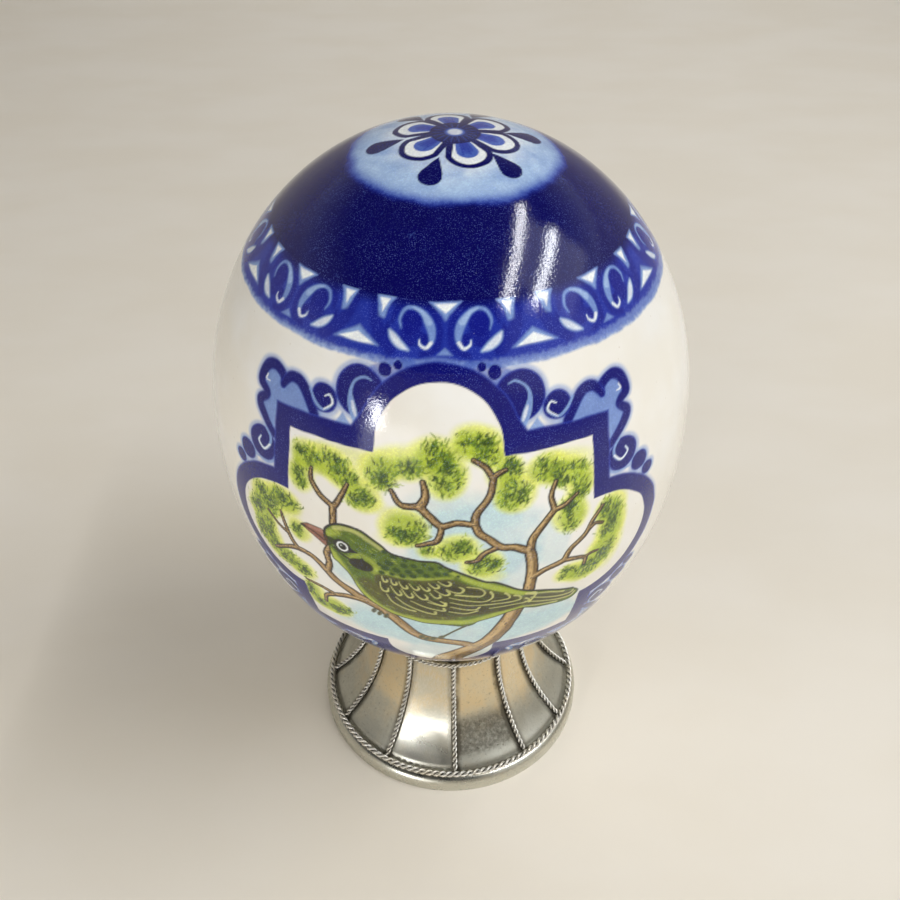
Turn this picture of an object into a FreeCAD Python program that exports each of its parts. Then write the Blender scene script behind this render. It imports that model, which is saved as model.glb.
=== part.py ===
import FreeCAD, Part
import math
import os

# Painted ostrich egg resting in the cup of a low ribbed metal foot.
# Frame: origin at the centre of the foot's bottom face, +Z up, the painted front faces -Y.
# Every length is in millimetres and every angle in degrees.

# --- egg -------------------------------------------------------------------------------------
EGG_HEIGHT = 155.0
EGG_WIDTH = 124.5
EGG_BOTTOM_Z = 45.6
EGG_FULLNESS = 2.09        # 2.0 is an ellipse, larger is fuller
EGG_TAPER = 0.031          # how much the top is fatter than the bottom
SHELL_THICKNESS = 2.0
BLOW_HOLE_RADIUS = 3.5
EGG_CURVE_STEPS = 18

# --- seat ------------------------------------------------------------------------------------
RUNNING_GAP = 0.05
FELT_THICKNESS = 1.5
FELT_INNER_RADIUS = 20.0
FELT_OUTER_RADIUS = 27.6
CUP_WALL = 1.2
CUP_MOUTH_RADIUS = 28.0    # measured where the cup's mouth meets the egg's side
CUP_CURVE_STEPS = 5

# --- foot ------------------------------------------------------------------------------------
FOOT_RADIUS = 43.7
RIM_WALL = 1.2
RIM_CORNER_RADIUS = 3.2
FLANGE_TOP_Z = 5.4
FLANGE_INNER_RADIUS = 36.5

BASE_ROPE_RADIUS = 41.6
BASE_ROPE_WIRE = 1.05      # radius of the rope's round section
NECK_ROPE_RADIUS = 24.9
NECK_ROPE_WIRE = 0.65

# Seams between the gores, in degrees to the right of the front. The skirt is pieced by hand and uneven.
SEAMS = (2.0, 36.0, 62.0, 92.0, 122.0, 152.0, 182.0, 212.0, 242.0, 271.0, 299.5, 329.3)
GORE_THICKNESS = 1.0
GORE_LIP = 1.15            # how far the flared lip reaches out past the skirt's bottom
GORE_LIP_THICKNESS = 0.5
SEAM_HALF_GAP = 0.5        # the rib wire closes this gap between two gores

# The seam's curve, as radius and height, runs as one arc through these three places.
SKIRT_BOTTOM = (39.3, 7.2)
SKIRT_WAIST = (29.5, 20.2)
SKIRT_TOP = (24.3, 40.0)

RIB_WIRE = 0.8             # radius of the rib's round section
RIB_RISE = 0.75            # the rib's centre stands this far outside the seam
RIB_BOTTOM_Z = 8.3
RIB_TOP_Z = SKIRT_TOP[1] - 0.1

COLLAR_WALL = 1.0
COLLAR_BOTTOM_Z = 33.0

GORE_WIDTHS = [(after - seam) % 360 for seam, after in zip(SEAMS, SEAMS[1:] + SEAMS[:1])]
AXIS = FreeCAD.Vector(0, 0, 1)
ORIGIN = FreeCAD.Vector(0, 0, 0)


def at(radius, height):
    """A place in the plane through the axis and +X."""
    return FreeCAD.Vector(radius, 0, height)


def chain(*edges):
    """A face bounded by the edges, which follow one another."""
    return Part.Face(Part.Wire([edge.toShape() for edge in edges]))


def line(start, end):
    return Part.LineSegment(at(*start), at(*end))


def arc(start, middle, end):
    return Part.Arc(at(*start), at(*middle), at(*end))


def curve(places, first_direction=None, last_direction=None):
    """A smooth curve through the places, with its end directions when they are given."""
    spline = Part.BSplineCurve()
    points = [at(*place) for place in places]
    if first_direction is None:
        spline.interpolate(Points=points)
    else:
        spline.interpolate(
            Points=points,
            InitialTangent=at(*first_direction).normalize(),
            FinalTangent=at(*last_direction).normalize(),
            Scale=False,
        )
    return spline


def ring(face):
    return face.revolve(ORIGIN, AXIS, 360)


def rope_ring(ring_radius, wire_radius, resting_z):
    centre = FreeCAD.Vector(0, 0, resting_z + wire_radius)
    return Part.makeTorus(ring_radius, wire_radius, centre, AXIS)


# --- egg curves ------------------------------------------------------------------------------
def egg_place(turn, offset):
    """Radius and height of the egg's side, turn degrees up from its bottom pole.

    A positive offset is outside the shell and a negative one is inside it.
    """
    def on_shell(angle):
        level = -math.cos(math.radians(angle))
        girth = math.sqrt(max(0.0, 1 - abs(level) ** EGG_FULLNESS))
        radius = EGG_WIDTH / 2 * girth * (1 + EGG_TAPER * level)
        return radius, EGG_BOTTOM_Z + EGG_HEIGHT / 2 * (1 + level)

    step = 0.05
    radius, height = on_shell(turn)
    if turn <= 0 or turn >= 180:
        return 0.0, height + math.copysign(offset, turn - 90)
    before = on_shell(turn - step)
    after = on_shell(turn + step)
    along_r = after[0] - before[0]
    along_z = after[1] - before[1]
    length = math.hypot(along_r, along_z)
    return radius + offset * along_z / length, height - offset * along_r / length


def turn_at_radius(radius, offset):
    """How far up from the bottom pole the egg's lower side reaches a radius."""
    low, high = 0.0, 80.0
    for _ in range(50):
        middle = (low + high) / 2
        if egg_place(middle, offset)[0] < radius:
            low = middle
        else:
            high = middle
    return (low + high) / 2


def lower_side(start_turn, end_turn, offset, steps):
    """Places along the egg's lower side, between two turns from its bottom pole."""
    span = end_turn - start_turn
    return [egg_place(start_turn + span * i / steps, offset) for i in range(steps + 1)]


# --- egg and seat ----------------------------------------------------------------------------
def egg_shell():
    """A hollow shell with the small hole in its bottom through which it was emptied."""
    def side(offset):
        first = turn_at_radius(BLOW_HOLE_RADIUS, offset)
        span = 180.0 - first
        places = [egg_place(first + span * i / EGG_CURVE_STEPS, offset) for i in range(EGG_CURVE_STEPS)]
        places.append((0.0, EGG_BOTTOM_Z + EGG_HEIGHT + offset))
        nearby = egg_place(first + 0.1, offset)
        leaving = (nearby[0] - places[0][0], nearby[1] - places[0][1])
        return places, curve(places, leaving, (-1, 0))

    outer_places, outer = side(0.0)
    inner_places, inner = side(-SHELL_THICKNESS)
    hole = line(outer_places[0], inner_places[0])
    crown = line(outer_places[-1], inner_places[-1])
    return ring(chain(hole, inner, crown, outer))


def seat_felt():
    """A loose felt ring, cut to lie between the cup and the egg."""
    top_offset = RUNNING_GAP
    bottom_offset = RUNNING_GAP + FELT_THICKNESS
    start = turn_at_radius(FELT_INNER_RADIUS, 0.0)
    end = turn_at_radius(FELT_OUTER_RADIUS, 0.0)
    top = lower_side(start, end, top_offset, CUP_CURVE_STEPS)
    bottom = lower_side(start, end, bottom_offset, CUP_CURVE_STEPS)
    return ring(chain(
        curve(top),
        line(top[-1], bottom[-1]),
        curve(bottom),
        line(bottom[0], top[0]),
    ))


def seat_cup():
    """A shallow spun cup that follows the egg's bottom, with a rounded mouth."""
    inner_offset = 2 * RUNNING_GAP + FELT_THICKNESS
    outer_offset = inner_offset + CUP_WALL
    mouth = turn_at_radius(CUP_MOUTH_RADIUS, 0.0)
    inner = lower_side(0.0, mouth, inner_offset, CUP_CURVE_STEPS)
    outer = lower_side(0.0, mouth, outer_offset, CUP_CURVE_STEPS)
    beyond = turn_at_radius(CUP_MOUTH_RADIUS + CUP_WALL / 2, 0.0)
    lip = egg_place(beyond, (inner_offset + outer_offset) / 2)
    slope = egg_place(mouth + 0.1, 0.0)
    place = egg_place(mouth, 0.0)
    leaving = (slope[0] - place[0], slope[1] - place[1])
    return ring(chain(
        curve(inner, (1, 0), leaving),
        arc(inner[-1], lip, outer[-1]),
        curve(outer, (1, 0), leaving),
        line(outer[0], inner[0]),
    ))


def neck_collar():
    """A plain band inside the tops of the gores, which carries the cup."""
    widest_half = math.radians(max(GORE_WIDTHS) / 2)
    outer_radius = SKIRT_TOP[0] * math.cos(widest_half) - GORE_THICKNESS - RUNNING_GAP
    inner_radius = outer_radius - COLLAR_WALL
    cup_offset = 2 * RUNNING_GAP + FELT_THICKNESS + CUP_WALL
    touching = egg_place(turn_at_radius(inner_radius, cup_offset), cup_offset)
    band = line((inner_radius, COLLAR_BOTTOM_Z), (outer_radius, COLLAR_BOTTOM_Z))
    top_z = touching[1]
    return ring(chain(
        band,
        line((outer_radius, COLLAR_BOTTOM_Z), (outer_radius, top_z)),
        line((outer_radius, top_z), (inner_radius, top_z)),
        line((inner_radius, top_z), (inner_radius, COLLAR_BOTTOM_Z)),
    ))


# --- foot ------------------------------------------------------------------------------------
def foot_rim():
    """The turned-down ring the object stands on, with a flat flange that holds the skirt."""
    corner_r = FOOT_RADIUS - RIM_CORNER_RADIUS
    corner_z = FLANGE_TOP_Z - RIM_CORNER_RADIUS
    inner_corner = RIM_CORNER_RADIUS - RIM_WALL
    bend = math.sqrt(0.5)
    flange_bottom = FLANGE_TOP_Z - RIM_WALL
    return ring(chain(
        line((FOOT_RADIUS - RIM_WALL, 0), (FOOT_RADIUS, 0)),
        line((FOOT_RADIUS, 0), (FOOT_RADIUS, corner_z)),
        arc((FOOT_RADIUS, corner_z),
            (corner_r + RIM_CORNER_RADIUS * bend, corner_z + RIM_CORNER_RADIUS * bend),
            (corner_r, FLANGE_TOP_Z)),
        line((corner_r, FLANGE_TOP_Z), (FLANGE_INNER_RADIUS, FLANGE_TOP_Z)),
        line((FLANGE_INNER_RADIUS, FLANGE_TOP_Z), (FLANGE_INNER_RADIUS, flange_bottom)),
        line((FLANGE_INNER_RADIUS, flange_bottom), (corner_r, flange_bottom)),
        arc((corner_r, flange_bottom),
            (corner_r + inner_corner * bend, corner_z + inner_corner * bend),
            (FOOT_RADIUS - RIM_WALL, corner_z)),
        line((FOOT_RADIUS - RIM_WALL, corner_z), (FOOT_RADIUS - RIM_WALL, 0)),
    ))


def inward(place):
    return place[0] - GORE_THICKNESS, place[1]


def gore(width_degrees):
    """One flat-fronted skirt panel with a flared lip, in the direction of +X."""
    half = math.radians(width_degrees / 2)
    seam_places = (SKIRT_BOTTOM, SKIRT_WAIST, SKIRT_TOP)
    bottom, waist, top = [(radius * math.cos(half), height) for radius, height in seam_places]
    lip_radius = bottom[0] + GORE_LIP
    lip_top = FLANGE_TOP_Z + GORE_LIP_THICKNESS
    fillet = (bottom[0] + 0.38 * GORE_LIP, lip_top + 0.38 * (bottom[1] - lip_top))
    inner_foot = (inward(bottom)[0], FLANGE_TOP_Z)
    section = chain(
        line(inner_foot, (lip_radius, FLANGE_TOP_Z)),
        line((lip_radius, FLANGE_TOP_Z), (lip_radius, lip_top)),
        arc((lip_radius, lip_top), fillet, bottom),
        arc(bottom, waist, top),
        line(top, inward(top)),
        arc(inward(top), inward(waist), inward(bottom)),
        line(inward(bottom), inner_foot),
    )
    width = FOOT_RADIUS
    section.translate(FreeCAD.Vector(0, -width / 2, 0))
    panel = section.extrude(FreeCAD.Vector(0, width, 0))
    return panel.common(gore_wedge(half, SKIRT_TOP[1] + 1))


def gore_wedge(half, height):
    """The wedge of space between two seams, less half the seam's gap on each side."""
    reach = 2 * FOOT_RADIUS
    tip = SEAM_HALF_GAP / math.sin(half)
    side = (reach - tip) * math.tan(half)
    corners = [FreeCAD.Vector(tip, 0, 0), FreeCAD.Vector(reach, -side, 0), FreeCAD.Vector(reach, side, 0)]
    corners.append(corners[0])
    return Part.Face(Part.makePolygon(corners)).extrude(FreeCAD.Vector(0, 0, height))


def rib_wire():
    """One round wire bent along a seam, in the direction of +X."""
    bend = arc(SKIRT_BOTTOM, SKIRT_WAIST, SKIRT_TOP).toShape().Curve
    centre = bend.Center + FreeCAD.Vector(RIB_RISE, 0, 0)

    def turn(height):
        return math.degrees(math.asin((height - centre.z) / bend.Radius))

    start = turn(RIB_BOTTOM_Z)
    end = turn(RIB_TOP_Z)
    level_point = centre - FreeCAD.Vector(bend.Radius, 0, 0)
    circle = Part.makeCircle(RIB_WIRE, level_point, AXIS)
    section = Part.Face(Part.Wire(circle))
    section.rotate(centre, FreeCAD.Vector(0, 1, 0), start)
    return section.revolve(centre, FreeCAD.Vector(0, 1, 0), end - start)


def around(shape, degrees_from_front):
    """A copy of a shape made along +X, turned to stand at an angle to the right of the front."""
    turned = shape.copy()
    turned.rotate(ORIGIN, AXIS, degrees_from_front - 90)
    return turned


def build():
    pieces = {
        "egg_shell": egg_shell(),
        "seat_felt": seat_felt(),
        "seat_cup": seat_cup(),
        "neck_collar": neck_collar(),
        "neck_rope": rope_ring(NECK_ROPE_RADIUS, NECK_ROPE_WIRE, SKIRT_TOP[1]),
        "base_rope": rope_ring(BASE_ROPE_RADIUS, BASE_ROPE_WIRE, FLANGE_TOP_Z),
        "foot_rim": foot_rim(),
    }
    one_rib = rib_wire()
    for i, (seam, width) in enumerate(zip(SEAMS, GORE_WIDTHS), start=1):
        pieces[f"rib_wire_{i:02d}"] = around(one_rib, seam)
        pieces[f"gore_{i:02d}"] = around(gore(width), seam + width / 2)
    return pieces


os.makedirs("parts", exist_ok=True)
for name, shape in build().items():
    if shape.ShapeType == "Compound" and len(shape.Solids) == 1:
        shape = shape.Solids[0]
    shape.exportStep(f"parts/{name}.step")
    print(name, shape.isValid(), len(shape.Solids), round(shape.Volume, 2), shape.BoundBox)
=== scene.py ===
"""A hollow ostrich egg with a painted cobalt cap and bird panel, on a flared pewter foot.

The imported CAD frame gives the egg's and the ropes' sizes; the others match the part's source. The painting
and the metalwork are worked out in millimetres and turned into metres where the meshes are made. Azimuths
are measured from the front (-Y) towards the viewer's right (+X).
"""

import math

import bpy
import numpy as np
from mathutils import Matrix, Vector


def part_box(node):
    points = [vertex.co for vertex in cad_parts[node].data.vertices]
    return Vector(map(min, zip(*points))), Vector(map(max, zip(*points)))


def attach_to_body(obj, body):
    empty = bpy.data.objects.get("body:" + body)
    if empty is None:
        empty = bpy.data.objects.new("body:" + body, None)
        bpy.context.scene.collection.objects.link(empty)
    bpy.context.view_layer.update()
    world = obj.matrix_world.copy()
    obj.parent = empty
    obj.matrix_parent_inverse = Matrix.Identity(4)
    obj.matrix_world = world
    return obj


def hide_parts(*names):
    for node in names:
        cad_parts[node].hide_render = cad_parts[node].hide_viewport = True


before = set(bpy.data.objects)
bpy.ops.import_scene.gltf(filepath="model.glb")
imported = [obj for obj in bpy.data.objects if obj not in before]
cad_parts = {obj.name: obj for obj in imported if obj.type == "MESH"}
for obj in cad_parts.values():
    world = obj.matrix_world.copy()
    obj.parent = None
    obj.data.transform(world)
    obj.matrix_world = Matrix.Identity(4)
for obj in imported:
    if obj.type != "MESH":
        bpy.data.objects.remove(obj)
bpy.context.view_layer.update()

MM = 0.001


# ======================================================================
# Meshes
# ======================================================================
def build_mesh(name, points, *face_groups, smooth_groups=99):
    """An object from points in mm and arrays of faces, of which the first smooth_groups are shaded smooth."""
    corners = np.concatenate([group.ravel() for group in face_groups]).astype(np.int32)
    sizes = np.concatenate([np.full(len(group), group.shape[1]) for group in face_groups])
    starts = np.concatenate([[0], np.cumsum(sizes)[:-1]]).astype(np.int32)
    mesh = bpy.data.meshes.new(name)
    mesh.vertices.add(len(points))
    mesh.vertices.foreach_set("co", (np.asarray(points) * MM).astype(np.float32).ravel())
    mesh.loops.add(len(corners))
    mesh.loops.foreach_set("vertex_index", corners)
    mesh.polygons.add(len(sizes))
    mesh.polygons.foreach_set("loop_start", starts)
    smooth = [np.full(len(group), index < smooth_groups) for index, group in enumerate(face_groups)]
    mesh.polygons.foreach_set("use_smooth", np.concatenate(smooth))
    mesh.update(calc_edges=True)
    piece = bpy.data.objects.new(name, mesh)
    bpy.context.scene.collection.objects.link(piece)
    return piece


def store(piece, name, kind, values):
    """Keeps one value per vertex with the mesh, for its material to read."""
    attribute = piece.data.attributes.new(name, kind, "POINT")
    field = "vector" if kind == "FLOAT_VECTOR" else "value"
    attribute.data.foreach_set(field, np.asarray(values, np.float32).ravel())


def lattice_faces(rows, columns, wrap_rows=False, wrap_columns=False):
    """Quads over a lattice of rows x columns vertices."""
    row = np.arange(rows if wrap_rows else rows - 1)
    column = np.arange(columns if wrap_columns else columns - 1)
    row, column = [grid.ravel() for grid in np.meshgrid(row, column, indexing="ij")]
    next_row, next_column = (row + 1) % rows, (column + 1) % columns
    return np.stack([
        row * columns + column,
        row * columns + next_column,
        next_row * columns + next_column,
        next_row * columns + column,
    ], axis=1)


def spun_skin(name, rings, first_pole, last_pole=None):
    """A skin over rings of points round the axis, closed by a fan to a pole at one end, or at both."""
    around = len(rings[0])
    count = len(rings) * around
    index = np.arange(around)
    after = (index + 1) % around
    points = [*rings, [[0, 0, first_pole]]]
    fans = [np.stack([np.full(around, count), index, after], axis=1)]
    if last_pole is not None:
        last = count - around
        points.append([[0, 0, last_pole]])
        fans.append(np.stack([np.full(around, count + 1), last + after, last + index], axis=1))
    faces = lattice_faces(len(rings), around, wrap_columns=True)[:, ::-1]
    return build_mesh(name, np.vstack(points), faces, *fans)


def around_axis(radius, azimuth, height):
    """Points in mm from cylinder coordinates."""
    across, back = radius * np.sin(azimuth), -radius * np.cos(azimuth)
    return np.stack(np.broadcast_arrays(across, back, height), axis=-1)


def ease(share):
    """0 to 1 again, but starting and ending gently."""
    return share * share * (3 - 2 * share)


def heading(degrees):
    """The unit direction (x, y) at an angle."""
    return math.cos(math.radians(degrees)), math.sin(math.radians(degrees))


NOISE_CELLS = 32           # the random lattice repeats after this many cells
NOISE_START = 100.0        # keeps places on the lattice positive


def noise(points, size, seed):
    """A smooth random field from 0 to 1 whose lumps are about size mm across."""
    lattice = np.random.default_rng(seed).random((NOISE_CELLS,) * 3)
    place = points / size + NOISE_START
    base = np.floor(place).astype(int)
    share = ease(place - base)
    total = np.zeros(len(points))
    for corner in np.ndindex(2, 2, 2):
        weight = np.ones(len(points))
        for axis, step in enumerate(corner):
            weight = weight * (share[:, axis] if step else 1 - share[:, axis])
        index = (base + np.array(corner)) % NOISE_CELLS
        total += weight * lattice[index[:, 0], index[:, 1], index[:, 2]]
    return total


# ======================================================================
# The egg's surface
# ======================================================================
EGG_HEIGHT = 155.0
EGG_FULLNESS = 2.09        # the CAD shell's curve: 2.0 is an ellipse, larger is fuller
EGG_TAPER = 0.031          # how much the top is fatter than the bottom
SHELL_THICKNESS = 2.0
BLOW_HOLE_RADIUS = 3.5

_, egg_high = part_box("egg_shell")
EGG_TOP = egg_high.z / MM
EGG_CENTRE = EGG_TOP - EGG_HEIGHT / 2

# One half of the egg's outline as tables, from the bottom pole (turn 0) to the crown (turn pi).
TURN = np.linspace(0, math.pi, 6001)
LEVEL = -np.cos(TURN)
GIRTH = np.sqrt(np.clip(1 - np.abs(LEVEL) ** EGG_FULLNESS, 0, None)) * (1 + EGG_TAPER * LEVEL)
SIDE_RADIUS = GIRTH / GIRTH.max() * egg_high.x / MM
SIDE_Z = EGG_CENTRE + EGG_HEIGHT / 2 * LEVEL
SIDE_SLOPE = np.arctan2(-np.gradient(SIDE_RADIUS), np.gradient(SIDE_Z))
SIDE_RISE = np.arctan2(SIDE_Z - EGG_CENTRE, SIDE_RADIUS)
STEP_LENGTHS = np.hypot(np.diff(SIDE_RADIUS), np.diff(SIDE_Z))
CROWN_ARC = np.append(np.cumsum(STEP_LENGTHS[::-1])[::-1], 0.0)     # length along the side from the crown
LOWER_HALF = slice(0, len(TURN) // 2)


def turn_at_arc(arc):
    return np.interp(arc, CROWN_ARC[::-1], TURN[::-1])


def turn_at_radius(radius):
    """Where the egg's lower half has a radius."""
    return np.interp(radius, SIDE_RADIUS[LOWER_HALF], TURN[LOWER_HALF])


def arc_at_height(height):
    """Length from the crown down to a height above the egg's bottom."""
    return np.interp(height, SIDE_Z - SIDE_Z[0], CROWN_ARC)


def on_egg(turn, azimuth, lift=0.0):
    """Points on the egg, lifted off its surface by a distance in mm."""
    slope = np.interp(turn, TURN, SIDE_SLOPE)
    radius = np.interp(turn, TURN, SIDE_RADIUS) + lift * np.cos(slope)
    height = np.interp(turn, TURN, SIDE_Z) + lift * np.sin(slope)
    return around_axis(radius, azimuth, height)


# Charts: flat maps of the surface in mm, in which the painting is drawn.
PANEL_AZIMUTH = math.radians(-2.7)
PANEL_WIDTH_SCALE = 62.0
PANEL_HEIGHT_SCALE = 66.0
BAND_UNIT = 45.0           # degrees of the scroll band that repeat
BAND_CENTRE = -1.5         # azimuth of one unit's middle
BAND_MM_PER_DEGREE = 0.787
BAND_FOOT_HEIGHT = 129.0   # height above the egg's bottom where the band's scrolls stand
BAND_FOOT_ARC = arc_at_height(BAND_FOOT_HEIGHT)


def panel_place(x, y):
    """Turn and azimuth of a place on the front panel's chart."""
    across, up = x / PANEL_WIDTH_SCALE, y / PANEL_HEIGHT_SCALE
    reach = np.hypot(across, up) + 1e-9
    share = np.sin(reach) / reach
    azimuth = PANEL_AZIMUTH + np.arctan2(share * across, np.cos(reach))
    return np.interp(np.arcsin(share * up), SIDE_RISE, TURN), azimuth


def rise_of(points):
    """The angle of points above the level of the egg's centre."""
    return np.arctan2(points[:, 2] - EGG_CENTRE, np.hypot(points[:, 0], points[:, 1]))


def panel_chart(points, facing):
    """Chart coordinates of points on the egg, for a panel that faces an azimuth."""
    azimuth = np.arctan2(points[:, 0], -points[:, 1]) - facing
    rise = rise_of(points)
    ahead = np.cos(rise) * np.cos(azimuth)
    across = np.cos(rise) * np.sin(azimuth)
    reach = np.arccos(np.clip(ahead, -1, 1))
    spread = np.hypot(across, np.sin(rise)) + 1e-9
    up = np.sin(rise)
    return PANEL_WIDTH_SCALE * reach * across / spread, PANEL_HEIGHT_SCALE * reach * up / spread


def crown_arc_of(points):
    return np.interp(np.interp(rise_of(points), SIDE_RISE, TURN), TURN, CROWN_ARC)


# ======================================================================
# Brushes
# ======================================================================
def tone(red, green, blue):
    """A colour given as it looks on a screen, 0 to 255, turned into linear light."""
    shown = np.array([red, green, blue]) / 255.0
    return np.where(shown <= 0.04045, shown / 12.92, ((shown + 0.055) / 1.055) ** 2.4)


COBALT = tone(9, 7, 86)
COBALT_BRIGHT = tone(6, 8, 108)
COBALT_BAND = tone(20, 27, 132)
COBALT_MID = tone(34, 50, 156)
COBALT_WASH = tone(70, 96, 180)
SKY_BLUE = tone(128, 156, 208)
WATER_BLUE = tone(182, 206, 234)
CHALK = tone(236, 239, 240)

LEAF_YELLOW = tone(226, 230, 104)
LEAF_LIGHT = tone(168, 188, 48)
LEAF_MID = tone(104, 134, 36)
LEAF_DARK = tone(52, 74, 22)
SKY_WASH = tone(184, 214, 222)
BARK = tone(158, 124, 72)
BARK_LIGHT = tone(212, 180, 124)
BARK_LINE = tone(34, 26, 18)

FEATHER_GREEN = tone(88, 110, 26)
FEATHER_LIME = tone(176, 190, 70)
FEATHER_DARK = tone(50, 50, 16)
FEATHER_OLIVE = tone(88, 84, 34)
FEATHER_PALE = tone(198, 198, 122)
FEATHER_GREY = tone(98, 98, 64)
BEAK = tone(146, 98, 78)
INK = tone(30, 26, 16)

SOFT = 0.24                # width of a stroke's soft edge
WOBBLE = 0.34              # how far a hand-drawn line wavers in all


class Sheet:
    """Paint on a set of points: its colour, weighted by how much it covers, and the cover itself."""

    def __init__(self, points):
        self.points = points
        self.colour = np.zeros((len(points), 3))
        self.cover = np.zeros(len(points))
        self.touched = np.zeros(len(points), bool)
        # Each noise has the size of its lumps in mm and a seed of its own.
        self.grain = noise(points, 0.55, 11)
        self.wash = (2 * noise(points, 5.0, 12) + noise(points, 1.8, 13)) / 3
        self.wobble_x = WOBBLE * (noise(points, 3.2, 14) - 0.5)
        self.wobble_y = WOBBLE * (noise(points, 3.2, 15) - 0.5)


class Pen:
    """Lays paint on some of a sheet's points, which it knows by their places x and y on one chart."""

    def __init__(self, sheet, x, y, at=None):
        self.sheet = sheet
        self.x = x
        self.y = y
        self.at = np.arange(len(x)) if at is None else at

    def near(self, places, reach):
        """The same pen, kept to the box round some places."""
        low = np.min(places, axis=0)[:2] - reach
        high = np.max(places, axis=0)[:2] + reach
        inside = (self.x > low[0]) & (self.x < high[0]) & (self.y > low[1]) & (self.y < high[1])
        return Pen(self.sheet, self.x[inside], self.y[inside], self.at[inside])

    def flipped(self, left_right, up_down):
        return Pen(self.sheet, self.x * left_right, self.y * up_down, self.at)

    def lay(self, colour, amount):
        """Covers the points by an amount from 0 to 1 each."""
        sheet, at = self.sheet, self.at
        share = amount[:, None]
        sheet.colour[at] = sheet.colour[at] * (1 - share) + colour * share
        sheet.cover[at] = sheet.cover[at] * (1 - amount) + amount
        sheet.touched[at] |= amount > 0.03

    def bare(self, amount):
        """Takes paint off again, back to the shell."""
        sheet, at = self.sheet, self.at
        sheet.colour[at] *= (1 - amount)[:, None]
        sheet.cover[at] *= 1 - amount


def edge(depth, soft):
    """0 outside a shape and 1 inside it, from the depth inside it in mm."""
    return ease(np.clip(depth / soft + 0.5, 0, 1))


def smooth_path(places, steps=6, closed=False):
    """A curve through the places; any further columns, such as a width, follow along."""
    rows = np.array(places, float)
    if closed:
        rows = np.vstack([rows[-1:], rows, rows[:2]])
    else:
        rows = np.vstack([2 * rows[:1] - rows[1:2], rows, 2 * rows[-1:] - rows[-2:-1]])
    out = []
    for before, start, end, after in zip(rows[:-3], rows[1:-2], rows[2:-1], rows[3:]):
        for t in np.arange(steps) / steps:
            out.append(0.5 * (2 * start + (end - before) * t
                              + (2 * before - 5 * start + 4 * end - after) * t * t
                              + (3 * start - before - 3 * end + after) * t ** 3))
    if not closed:
        out.append(rows[-2])
    return np.array(out)


def from_line(pen, ax, ay, bx, by):
    """How far along the line from a to b each point's nearest place is, 0 to 1, and how far away in mm."""
    along_x, along_y = bx - ax, by - ay
    square = along_x ** 2 + along_y ** 2 + 1e-12
    share = np.clip(((pen.x - ax) * along_x + (pen.y - ay) * along_y) / square, 0, 1)
    return share, np.hypot(pen.x - ax - share * along_x, pen.y - ay - share * along_y)


def stroke_depth(pen, path):
    """Depth inside a brush stroke along a path of (x, y, width) rows."""
    deepest = np.full(len(pen.x), -1e3)
    for (ax, ay, start_width), (bx, by, end_width) in zip(path[:-1], path[1:]):
        share, away = from_line(pen, ax, ay, bx, by)
        deepest = np.maximum(deepest, (start_width + share * (end_width - start_width)) / 2 - away)
    return deepest


def outline_depth(pen, corners):
    """Depth inside a closed outline, negative outside it."""
    nearest = np.full(len(pen.x), 1e6)
    inside = np.zeros(len(pen.x), bool)
    for (ax, ay), (bx, by) in zip(corners, np.roll(corners, -1, axis=0)):
        nearest = np.minimum(nearest, from_line(pen, ax, ay, bx, by)[1])
        if ay != by:
            crosses = (ay > pen.y) != (by > pen.y)
            inside ^= crosses & (pen.x < ax + (pen.y - ay) / (by - ay) * (bx - ax))
    return np.where(inside, nearest, -nearest)


def stroke(pen, places, colour, widen=0.0, soft=SOFT, strength=1.0, steps=6):
    """One brush stroke through (x, y, width) places."""
    path = smooth_path(places, steps) if len(places) > 2 else np.array(places, float)
    path = path + np.array([0, 0, widen])
    local = pen.near(path, path[:, 2].max() / 2 + soft)
    if len(local.x):
        local.lay(colour, edge(stroke_depth(local, path), soft) * strength)


def fill(pen, corners, colour, grow=0.0, soft=SOFT, strength=1.0):
    """A filled shape."""
    corners = np.array(corners, float)
    local = pen.near(corners, abs(grow) + soft)
    if len(local.x):
        local.lay(colour, edge(outline_depth(local, corners) + grow, soft) * strength)


def oval(pen, x, y, half_width, half_height, colour, lean=0.0, soft=SOFT, strength=1.0):
    """An oval spot that leans by an angle in degrees."""
    reach = max(half_width, half_height) + soft
    local = pen.near(np.array([[x, y]]), reach)
    if not len(local.x):
        return
    cos, sin = heading(lean)
    dx, dy = local.x - x, local.y - y
    ratio = np.hypot((dx * cos + dy * sin) / half_width, (dy * cos - dx * sin) / half_height)
    local.lay(colour, edge((1 - ratio) * min(half_width, half_height), soft) * strength)


def bent_line(x, y, way, length, bend, widths):
    """Start, middle and end of a short line that sets off one way and bends, with its three widths."""
    middle = (x + length / 2 * math.cos(way), y + length / 2 * math.sin(way), widths[1])
    end = (x + length * math.cos(way + bend), y + length * math.sin(way + bend), widths[2])
    return [(x, y, widths[0]), middle, end]


def arc_places(x, y, radius, start, end, count=16):
    """Places along a circle between two angles in degrees."""
    angles = np.radians(np.linspace(start, end, count))
    return np.stack([x + radius * np.cos(angles), y + radius * np.sin(angles)], axis=1)


def four_quarters(quarter):
    """A closed outline from its upper right quarter, which runs clockwise from the top to the right."""
    lower = quarter[::-1] * (1, -1)
    right = np.vstack([quarter, lower])
    left = right[::-1] * (-1, 1)
    return np.vstack([right, left])


# ======================================================================
# The cap: a cobalt field with a flower medallion above a band of scrolls
# ======================================================================
MEDALLION_X = 0.9
MEDALLION_Y = -0.3
MEDALLION_RADIUS = 24.3
PETAL_ANGLES = (-73, -16, 41, 100, 157, 221)
TEARDROP_ANGLES = (12, 70, 129, 189, 252, 313)
TEARDROP = ((11.6, 0.3), (14.6, 2.9), (17.6, 5.4))      # distance out from the flower's middle, and width
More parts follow.
